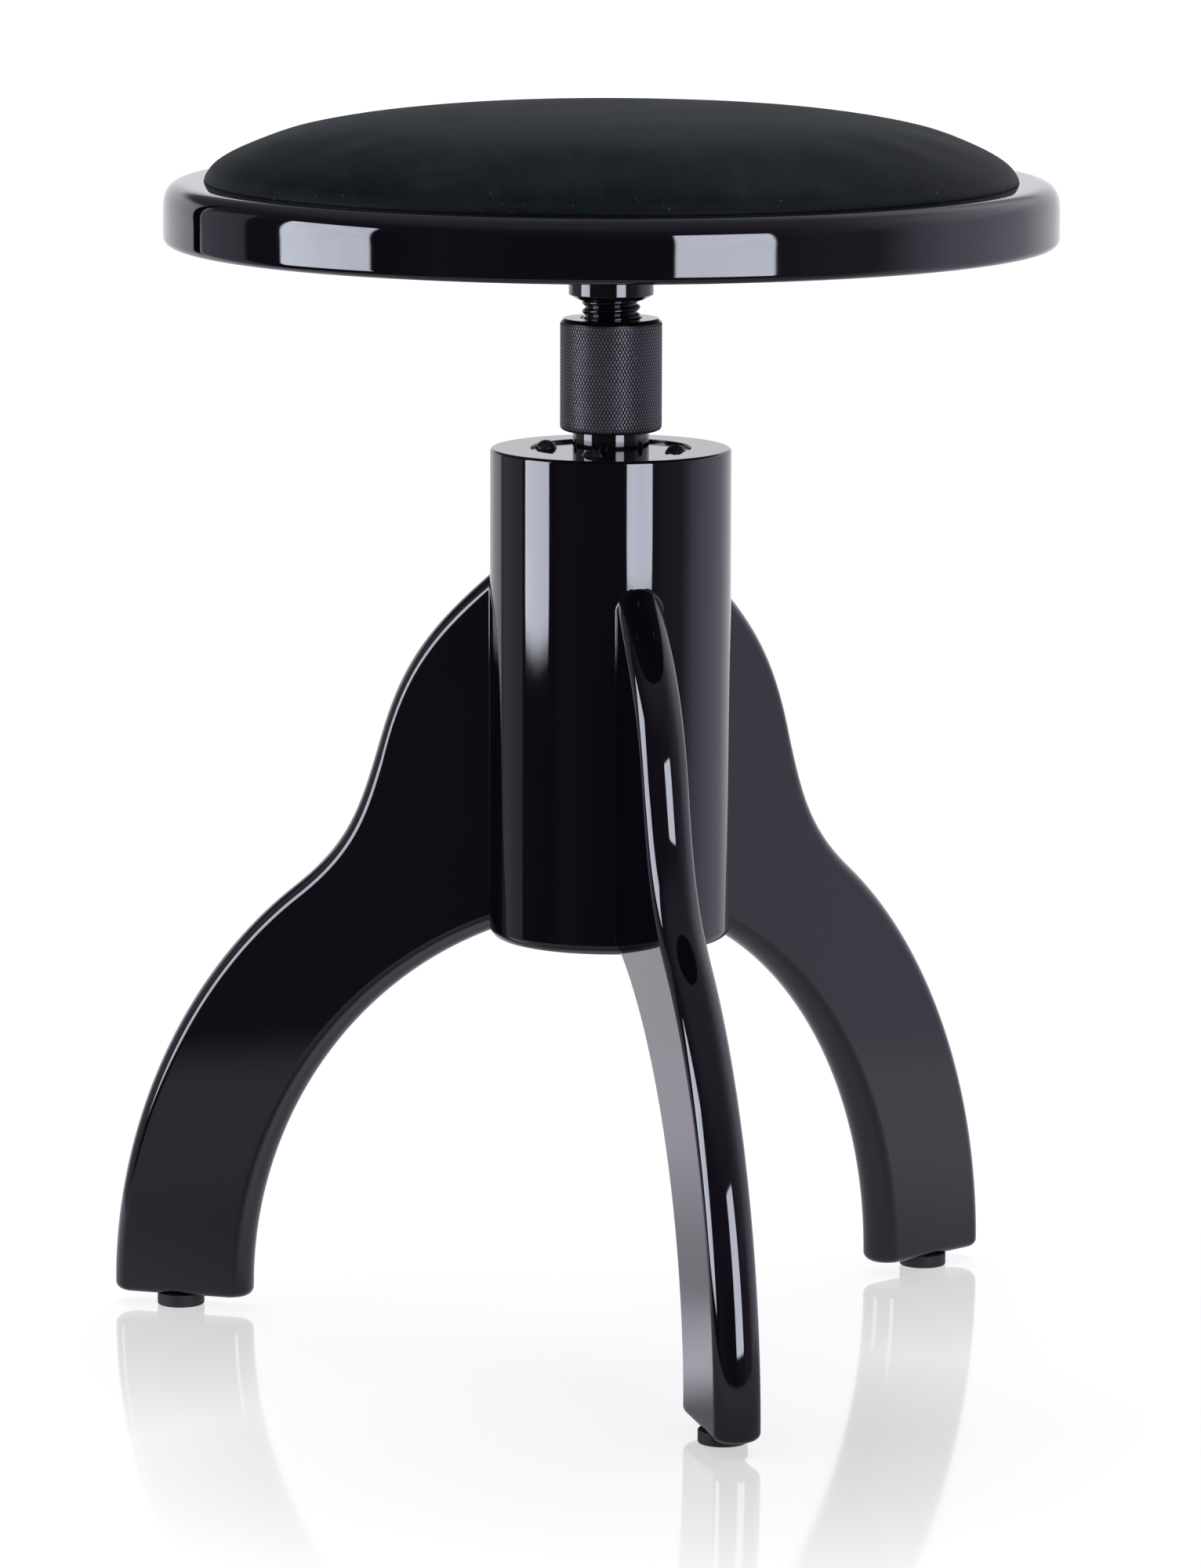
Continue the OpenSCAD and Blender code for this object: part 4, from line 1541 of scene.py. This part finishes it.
    def gathered(self, points: np.ndarray) -> np.ndarray:
        """Adds the cover's slight unevenness and the small gathers where it is pulled under.

        Args:
            points: vertices in metres.

        Returns:
            The moved vertices.
        """
        random = np.random.default_rng(self.seed)
        x, y, z = points.T / MM
        around, out = np.arctan2(y, x), np.hypot(x, y)
        up = np.clip((z - self.seat_top) / self.gather_height, 0, None)
        above = z > self.seat_top + 0.05
        wave = np.zeros(len(points))
        for _ in range(self.waves):
            turns, shift, size = random.integers(1, 6), random.uniform(0, 2 * math.pi), random.uniform(0.3, 1)
            slope = random.uniform(-0.02, 0.02)
            wave += size * np.sin(turns * around + shift + slope * out) * (out / self.radius) ** 1.5
        tight = np.zeros(len(points))
        for k in range(self.gathers):
            place = 2 * math.pi * (k + random.uniform(-0.4, 0.4)) / self.gathers
            width, depth = random.uniform(0.006, 0.014), random.uniform(0.15, 1.0)
            lean = random.uniform(-0.02, 0.02)
            gap = np.angle(np.exp(1j * (around - place - lean * up)))
            tight += depth * np.exp(-((gap / width) ** 2)) * np.exp(-((up / random.uniform(0.4, 1.0)) ** 2))
        lift = np.where(above, self.unevenness * wave / 3 * np.minimum(1, up), 0)
        pull = np.where(above, self.gather_depth * tight * (out > 0.9 * self.radius), 0)
        return points + np.stack([-pull * np.cos(around), -pull * np.sin(around), lift], axis=1) * MM

    def build(self, finishes: Finishes) -> None:
        """Makes the cushion."""
        mesh = self.cut()
        points = places(mesh)
        points += self.swelling(mesh)
        mesh.vertices.foreach_set("co", self.gathered(points).ravel())
        mesh.update()
        high, wide = points[:, 2].max() / MM, np.hypot(points[:, 0], points[:, 1]).max() / MM
        log.info("cushion crown at %.2f mm, radius %.2f mm", high, wide)
        piece = place_piece(
            "cushion", mesh, "seat", finishes.velour, ["cushion_cover", "cushion_foam"], sharp=60.0
        )


# Screws


@dataclass(frozen=True)
class ScrewRow:
    """A circle of screws with domed heads, in millimetres. The cross's sizes are shares of the head's."""

    name: str
    node: str
    body: str
    slot: str
    circle: float
    first: float
    seat: float
    head_radius: float
    head_height: float
    shank_radius: float
    length: float
    heads_up: bool = False
    count: int = 4
    cross_reach: float = 0.56
    cross_width: float = 0.13
    cross_depth: float = 0.62
    cross_taper: float = 0.4
    dome_steps: int = 12
    turn_spread: float = 1.5
    seed: int = 7

    def pattern(self) -> bpy.types.Object:
        """Makes one screw whose head stands on z = 0, with its point below. Returns a passing object."""
        dome = (self.head_radius**2 + self.head_height**2) / (2 * self.head_height)
        edge, steps = math.asin(self.head_radius / dome), self.dome_steps
        outline = [(0.0, self.head_height)]
        for i in range(1, steps + 1):
            a = edge * i / steps
            outline.append((dome * math.sin(a), dome * math.cos(a) - dome + self.head_height))
        outline += [
            (self.shank_radius, 0), (self.shank_radius, -self.length + 2 * self.shank_radius),
            (0, -self.length),
        ]
        piece = linked("passing_screw", revolved(self.name, outline, 64))
        cutter = linked("passing_cross", self.cross_recess())
        cut = piece.modifiers.new("recess", "BOOLEAN")
        cut.operation, cut.object, cut.solver = "DIFFERENCE", cutter, "EXACT"
        mesh = baked(piece)
        piece.modifiers.remove(cut)
        piece.data = mesh
        bpy.data.objects.remove(cutter)
        return piece

    def cross_recess(self) -> bpy.types.Mesh:
        """Makes the tapering shape that cuts the cross in a head. Returns its closed mesh."""
        wide, narrow = self.cross_reach * self.head_radius, self.cross_width * self.head_radius
        low_wide = self.cross_taper * wide
        top, deep = self.head_height + 0.5, self.head_height * (1 - self.cross_depth)

        def ring(reach: float, height: float) -> list[Triple]:
            """Returns the cross's corners at a height, with its arms as long as reach."""
            return [
                (x * math.cos(a) - y * math.sin(a), x * math.sin(a) + y * math.cos(a), height)
                for a in (quarter * math.pi / 2 for quarter in range(4))
                for x, y in ((reach, narrow), (narrow, narrow), (narrow, reach))
            ]

        corners = np.array(ring(wide, top) + ring(low_wide, deep))
        high, low = list(range(12)), list(range(12, 24))
        return mesh_from("cross", corners, [high, low[::-1], *strip(low, high, closed=True)])

    def build(self, material: bpy.types.Material) -> None:
        """Sets the screws on their circle, each turned a little differently."""
        pattern = self.pattern()
        tree = Geometry(f"{self.name}_circle")
        count = tree.count("Count", self.count)
        circle = tree.size("Circle radius", self.circle * MM)
        first = tree.size("First angle", math.radians(self.first))
        seat = tree.size("Height", self.seat * MM)
        flip = tree.size("Turn over", 0.0 if self.heads_up else math.pi)
        spread = tree.size("Spread of turns", self.turn_spread)
        screw = tree.thing("Screw", pattern)
        seed = tree.count("Seed", self.seed)
        index = tree.node("GeometryNodeInputIndex")
        angle = first + index * (2 * math.pi) / count
        points = tree.wrapped(tree.node("GeometryNodePoints", {}, {"Count": count}), angle, circle, seat)
        turn = tree.node(
            "FunctionNodeRandomValue", {"data_type": "FLOAT"},
            {"Min": 0.0, "Max": spread, "ID": index, "Seed": seed}, 1,
        )
        source = tree.node(
            "GeometryNodeObjectInfo", {"transform_space": "ORIGINAL"}, {"Object": screw}, "Geometry"
        )
        copies = tree.node("GeometryNodeInstanceOnPoints", {}, {
            "Points": points, "Instance": source, "Rotation": tree.vector(flip, 0.0, turn),
        })
        mesh = tree.made(copies, material)
        bpy.data.objects.remove(pattern)
        place_piece(self.name, mesh, self.body, material, [self.node], sharp=25.0)


SCREW_ROWS = (
    ScrewRow(
        "flange_screw_set", "flange_screws", "base", "black_screws", circle=26.5, first=60.0, seat=355.2,
        head_radius=4.3, head_height=3.2, shank_radius=2.0, length=24.0, heads_up=True,
    ),
    ScrewRow(
        "plate_screw_set", "plate_screws", "seat", "zinc_steel", circle=62.0, first=0.0, seat=434.0,
        head_radius=4.5, head_height=2.6, shank_radius=2.25, length=13.0,
    ),
    ScrewRow(
        "cushion_screw_set", "cushion_screws", "seat", "zinc_steel", circle=110.0, first=45.0, seat=437.0,
        head_radius=4.5, head_height=2.6, shank_radius=2.25, length=22.0,
    ),
)


# Stage


@dataclass
class Studio:
    """Floor, surroundings, lamps and camera. Its own x and y axes are the photograph's right and depth.

    Lengths are in metres. Azimuths are in degrees, from the camera to the photograph's right.
    The floor's fades go by the distance from the stool's axis, except that the mirror's goes by
    the distance from the nearest foot, the back's by depth, and the side's by distance to the right.
    """

    heading: float = 13.8
    camera_distance: float = 2.968
    camera_height: float = 0.709
    camera_pitch: float = 9.31
    camera_pan: float = -0.072
    camera_roll: float = 0.139
    camera_lens: float = 174.69
    sensor: float = 36.0
    panel_distance: float = 1.6
    panel_low: float = 0.045
    panel_high: float = 1.05
    panel_round: float = 0.05
    panel_soft: float = 0.03
    panel_colour: tuple[float, float, float, float] = (0.93, 0.97, 1.12, 1.0)
    panel_level: float = 3.2
    panel_glint: float = 10.6
    right_raise: float = 0.03
    right_gain: float = 1.12
    cloud_size: float = 0.22
    screen_low: float = -0.05
    grey_level: float = 0.36
    dark_level: float = 0.05
    lamp_size: float = 2.2
    lamp_power: float = 60.0
    lamp_back: float = 0.4
    lamp_height: float = 2.6
    wall_fade: Fade = (0.21, 0.33, 0.0, 1.0)
    ceiling_fade: Fade = (0.5, 0.92, 0.0, 1.0)
    ceiling_level: float = 0.29
    fill_level: float = 0.35
    floor_half: float = 14.0
    floor_height: float = -0.0004
    floor_clear: float = 0.002
    mirror_roughness: float = 0.07
    mirror_fade: Fade = (0.02, 0.36, 0.33, 0.0)
    paper_fade: Fade = (0.25, 1.2, 0.85, 0.99)
    paper_grey: Colour = (0.22, 0.22, 0.22)
    bounce_colour: tuple[float, float, float, float] = (1.02, 0.98, 1.12, 1.0)
    # The floor's glow in gloss is painted light and shade: a pool of light under the column, stronger to the
    # left, and dimmer close around the stool.
    painted_pool_fade: Fade = (0.06, 0.14, 0.9, 0.0)
    painted_shadow_fade: Fade = (0.12, 0.42, 0.32, 0.54)
    edge_fade: Fade = (0.53, 0.68, 0.0, 1.0)
    back_fade: Fade = (-0.12, 0.08, 0.0, 1.0)
    painted_left_light_fade: Fade = (-0.1, 0.05, 0.5, 0.0)

    def axes(self) -> tuple[Vector, Vector]:
        """Returns the photograph's right and depth directions on the floor."""
        a = math.radians(self.heading)
        return Vector((math.cos(a), -math.sin(a), 0)), Vector((math.sin(a), math.cos(a), 0))

    def toward(self, azimuth: float) -> Vector:
        """Returns the level direction of an azimuth."""
        right, depth = self.axes()
        a = math.radians(azimuth)
        return right * math.sin(a) - depth * math.cos(a)

    def camera(self) -> None:
        """Places the camera as the photograph's was."""
        right, depth = self.axes()
        pan, pitch, roll = (math.radians(v) for v in (self.camera_pan, self.camera_pitch, self.camera_roll))
        side = right * math.cos(pan) - depth * math.sin(pan)
        level = right * math.sin(pan) + depth * math.cos(pan)
        ahead = level * math.cos(pitch) - Vector((0, 0, 1)) * math.sin(pitch)
        up = level * math.sin(pitch) + Vector((0, 0, 1)) * math.cos(pitch)
        across = side * math.cos(roll) + up * math.sin(roll)
        above = up * math.cos(roll) - side * math.sin(roll)
        lens = bpy.data.cameras.new("camera")
        lens.lens, lens.sensor_width, lens.sensor_fit = self.camera_lens, self.sensor, "AUTO"
        lens.clip_start, lens.clip_end = 0.05, 60.0
        camera = linked("camera", lens)
        place = -depth * self.camera_distance + Vector((0, 0, self.camera_height))
        turn = Matrix((across, above, -ahead)).transposed().to_4x4()
        camera.matrix_world = Matrix.Translation(place) @ turn
        bpy.context.scene.camera = camera

    @staticmethod
    def direct(tree: Graph) -> Value:
        """Returns 1 where a ray comes from the camera without a bounce, else 0."""
        outputs = tree.node("ShaderNodeLightPath").socket.node.outputs
        camera, through = (Value(tree, outputs[f"Is {kind} Ray"]) for kind in ("Camera", "Transmission"))
        return camera.apply("MAXIMUM", through)

    @staticmethod
    def ray_start(tree: Shader) -> Value:
        """Returns the place where the ray that meets a surface starts."""
        length = tree.node("ShaderNodeLightPath", output="Ray Length")
        back = tree.node("ShaderNodeNewGeometry", output="Incoming")
        way = tree.node("ShaderNodeVectorMath", {"operation": "SCALE"}, {0: back, "Scale": length}, "Vector")
        return tree.node("ShaderNodeVectorMath", {"operation": "ADD"}, {0: tree.place, 1: way}, "Vector")

    def panel(
        self,
        name: str,
        start: Point,
        end: Point,
        low: float,
        high: float,
        level: float,
        glint: float,
        colour: tuple[float, ...] | None = None,
    ) -> None:
        """Stands a panel with soft edges beside the stool.

        Args:
            name: the panel's name.
            start: azimuth of one edge and its distance from the axis.
            end: azimuth and distance of the other edge.
            low: height of its lower edge.
            high: height of its upper edge.
            level: how bright it lights. At 0 it is a screen, which only gloss above the floor sees.
            glint: how bright it is where gloss mirrors it.
            colour: its colour, when it isn't that of the lamps.
        """
        a, b = (self.toward(azimuth) * distance for azimuth, distance in (start, end))
        corners = [Vector((p.x, p.y, z)) for p, z in ((a, low), (b, low), (b, high), (a, high))]
        mesh = bpy.data.meshes.new(name)
        mesh.from_pydata(corners, [], [(0, 1, 2, 3)])
        mesh.update()
        if mesh.polygons[0].normal.dot(a + b) >= 0:
            mesh.flip_normals()
        tree = Shader(name)
        glossy = tree.node("ShaderNodeLightPath", output="Is Glossy Ray")
        front = 1 - tree.node("ShaderNodeNewGeometry", output="Backfacing")
        strength = (level + (glint - level) * glossy) * front
        *_, start_height = tree.split(self.ray_start(tree))
        seen = front if level > 0 else glossy * (start_height > self.floor_clear)
        beside = (b - a).normalized()
        *_, up = tree.split(tree.place)
        spans = (
            (tree.along(tree.place, beside), beside.dot((a + b) / 2), (b - a).length / 2),
            (up, (low + high) / 2, (high - low) / 2),
        )
        past = [
            ((value - middle).apply("ABSOLUTE") - (half - self.panel_round)).apply("MAXIMUM", 0.0)
            for value, middle, half in spans
        ]
        edge = (past[0] * past[0] + past[1] * past[1]) ** 0.5
        shape = edge.ramp(self.panel_round - self.panel_soft, self.panel_round, 1.0, 0.0)
        cloud = 0.9 + 0.2 * tree.grain(self.cloud_size)
        glow = tree.glow(colour or self.panel_colour, strength * cloud)
        tree.surface(tree.blended(shape * seen, tree.node("ShaderNodeBsdfTransparent"), glow))
        mesh.materials.append(tree.material)
        thing = linked(name, mesh)
        thing.visible_camera = False
        thing.visible_shadow = False

    def lamps(self) -> None:
        """Two tall soft panels, a wide soft lamp overhead, and two screens for the column's left side."""
        far, glint = self.panel_distance, self.panel_glint
        low, high, level = self.panel_low, self.panel_high, self.panel_level
        self.panel("left_panel", (-88.5, far), (-59.5, far), low, high, level, glint)
        self.panel("right_panel", (14.6, far), (40, far), low + self.right_raise, high, level,
                   self.right_gain * glint)
        low, grey = self.screen_low, rgba(self.tone(0, 1.0))
        self.panel("grey_screen", (-118, 0.9), (-87, 0.447), low, 0.62, 0.0, self.grey_level, grey)
        self.panel("dark_flat", (-126.6, 1.214), (-128.3, 8.0), low, 1.4, 0.0, self.dark_level, grey)
        lamp = bpy.data.lights.new("overhead", "AREA")
        lamp.shape, lamp.size, lamp.energy = "DISK", self.lamp_size, self.lamp_power
        above = linked("overhead", lamp)
        _, depth = self.axes()
        above.location = depth * self.lamp_back + Vector((0, 0, self.lamp_height))
        above.rotation_euler = (-above.location).to_track_quat("-Z", "Y").to_euler()
        above.visible_camera = False
        above.visible_glossy = False

    @staticmethod
    def tone(azimuth: float, level: float) -> Colour:
        """The colour of the surroundings in gloss, which is purplish except behind the stool.

        Args:
            azimuth: in degrees from the camera to the photograph's right.
            level: how bright it is there.

        Returns:
            The colour.
        """
        purple = 1.0 if -128.5 < azimuth < 132 else 0.2
        return (level * (1 + 0.05 * purple), level * (1 - 0.02 * purple), level * (1 + 0.24 * purple))

    def surroundings(self) -> None:
        """A white background, and what gloss mirrors: pale behind and at the right, dark in front."""
        world = bpy.data.worlds.new("surroundings")
        bpy.context.scene.world = world
        world.use_nodes = True
        world.node_tree.nodes.clear()
        tree = Graph(world.node_tree)
        view = tree.node("ShaderNodeTexCoord", output="Generated")
        across, away, up = (tree.along(view, way) for way in (*self.axes(), Vector((0, 0, 1))))
        turn = across.apply("ARCTAN2", away * -1.0) / (2 * math.pi) + 0.5
        level_stops = (
            (-180, 1.0), (-128.7, 1.0), (-128.4, 0.17), (-120, self.grey_level), (-112, self.grey_level),
            (-110, 0.05), (-60, 0.04), (-45, 0.09), (-25, 0.06), (10, 0.05), (44, 0.13), (52, 0.19),
            (71, 0.21), (78, 0.45), (84, 0.70), (97, 0.92), (114, 0.92), (130, 0.84), (141, 1.0), (180, 1.0),
        )
        raised_stops = (
            (-180, 0.18), (-160, 0.12), (-110, 0.08), (-60, 0.07), (0, 0.09), (40, 0.14), (70, 0.34),
            (84, 0.6), (105, 1.1), (150, 1.15), (165, 0.5), (180, 0.18),
        )
        level, raised = (
            tree.node(
                "ShaderNodeValToRGB",
                {"stops": [((a + 180) / 360, self.tone(a, v)) for a, v in stops], "interpolation": "LINEAR"},
                {0: turn},
            )
            for stops in (level_stops, raised_stops)
        )
        upper = tree.mixed(up.ramp(*self.ceiling_fade), raised, self.tone(0, self.ceiling_level))
        mirrored = tree.mixed(up.ramp(*self.wall_fade), level, upper)
        shine, fill, white = (
            tree.node("ShaderNodeBackground", {}, {"Color": colour, "Strength": strength})
            for colour, strength in ((mirrored, 1.0), ((1, 1, 1, 1), self.fill_level), ((1, 1, 1, 1), 1.0))
        )
        seen = tree.blended(tree.node("ShaderNodeLightPath", output="Is Glossy Ray"), fill, shine)
        shown = tree.blended(self.direct(tree), seen, white)
        tree.node("ShaderNodeOutputWorld", {}, {"Surface": shown})

    def floor(self) -> None:
        """A white floor that mirrors the feet a little and keeps a faint shadow.

        The camera sees white paper with a weak mirror near the feet. The stool's own gloss sees
        a glow on it, which ends in open air. That glow is painted light and shade: brightest under
        the column, more so towards the left, brighter behind the stool, and dimmer close around it.
        """
        half, level = self.floor_half, self.floor_height
        corners = [(x * half, y * half, level) for x, y in ((-1, -1), (1, -1), (1, 1), (-1, 1))]
        mesh = bpy.data.meshes.new("floor")
        mesh.from_pydata(corners, [], [(0, 1, 2, 3)])
        tree = Shader("white_floor")
        right, depth = self.axes()
        reach = Legs.pad_reach * MM
        gaps = [
            tree.node("ShaderNodeVectorMath", {"operation": "DISTANCE"},
                      {0: tree.place, 1: (reach * math.cos(a), reach * math.sin(a), 0.0)}, "Value")
            for a in map(math.radians, LEG_ANGLES.values())
        ]
        near = gaps[0].apply("MINIMUM", gaps[1]).apply("MINIMUM", gaps[2])
        distance = tree.node("ShaderNodeVectorMath", {"operation": "LENGTH"}, {0: tree.place}, "Value")
        glow = tree.glow((1, 1, 1, 1), distance.ramp(*self.paper_fade))
        matt = tree.node("ShaderNodeBsdfDiffuse", {}, {"Color": rgba(self.paper_grey)})
        paper = tree.node("ShaderNodeAddShader", {}, {0: glow, 1: matt})
        mirror = tree.node(
            "ShaderNodeBsdfGlossy", {}, {"Color": (1, 1, 1, 1), "Roughness": self.mirror_roughness}
        )
        seen = tree.blended(near.ramp(*self.mirror_fade), paper, mirror)
        # Painted light and shade on the glow that gloss sees: a pool under the column, more light to the left
        # and behind, less close around the stool.
        back = tree.along(tree.place, depth).ramp(*self.back_fade)
        left = tree.along(tree.place, right).ramp(*self.painted_left_light_fade)
        under = distance.ramp(*self.painted_pool_fade) * (1 - back)
        around = distance.ramp(*self.painted_shadow_fade) * (1 + 0.9 * back)
        bright = tree.glow(self.bounce_colour, under * (1 + left) + around)
        open_air = tree.node("ShaderNodeBsdfTransparent")
        bounced = tree.blended(distance.ramp(*self.edge_fade), bright, open_air)
        tree.surface(tree.blended(self.direct(tree), bounced, seen))
        mesh.materials.append(tree.material)
        linked("floor", mesh)

    def build(self) -> None:
        """Sets the whole stage."""
        self.camera()
        self.surroundings()
        self.lamps()
        self.floor()
        bpy.context.scene.view_settings.view_transform = "Standard"


def main() -> None:
    """Builds the stage and the stool."""
    logging.basicConfig(level=logging.INFO, format="%(message)s")
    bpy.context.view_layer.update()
    Studio().build()
    finishes = Finishes()
    Column().build(finishes)
    Legs().build(finishes)
    Spindle().build(finishes)
    LockSleeve().build(finishes)
    Seat().build(finishes)
    Cushion().build(finishes)
    for row in SCREW_ROWS:
        row.build(finishes.screw if row.slot == "black_screws" else finishes.zinc)
    dress_nodes(["foot_pins", "spindle_nut", "clamp_ring", "stop_washer", "stop_screw"], finishes.zinc)
    dress_nodes(["leg_dowels"], finishes.dowel)
    dress_nodes(["cushion_board"], finishes.plywood)


if __name__ == "__main__":
    main()
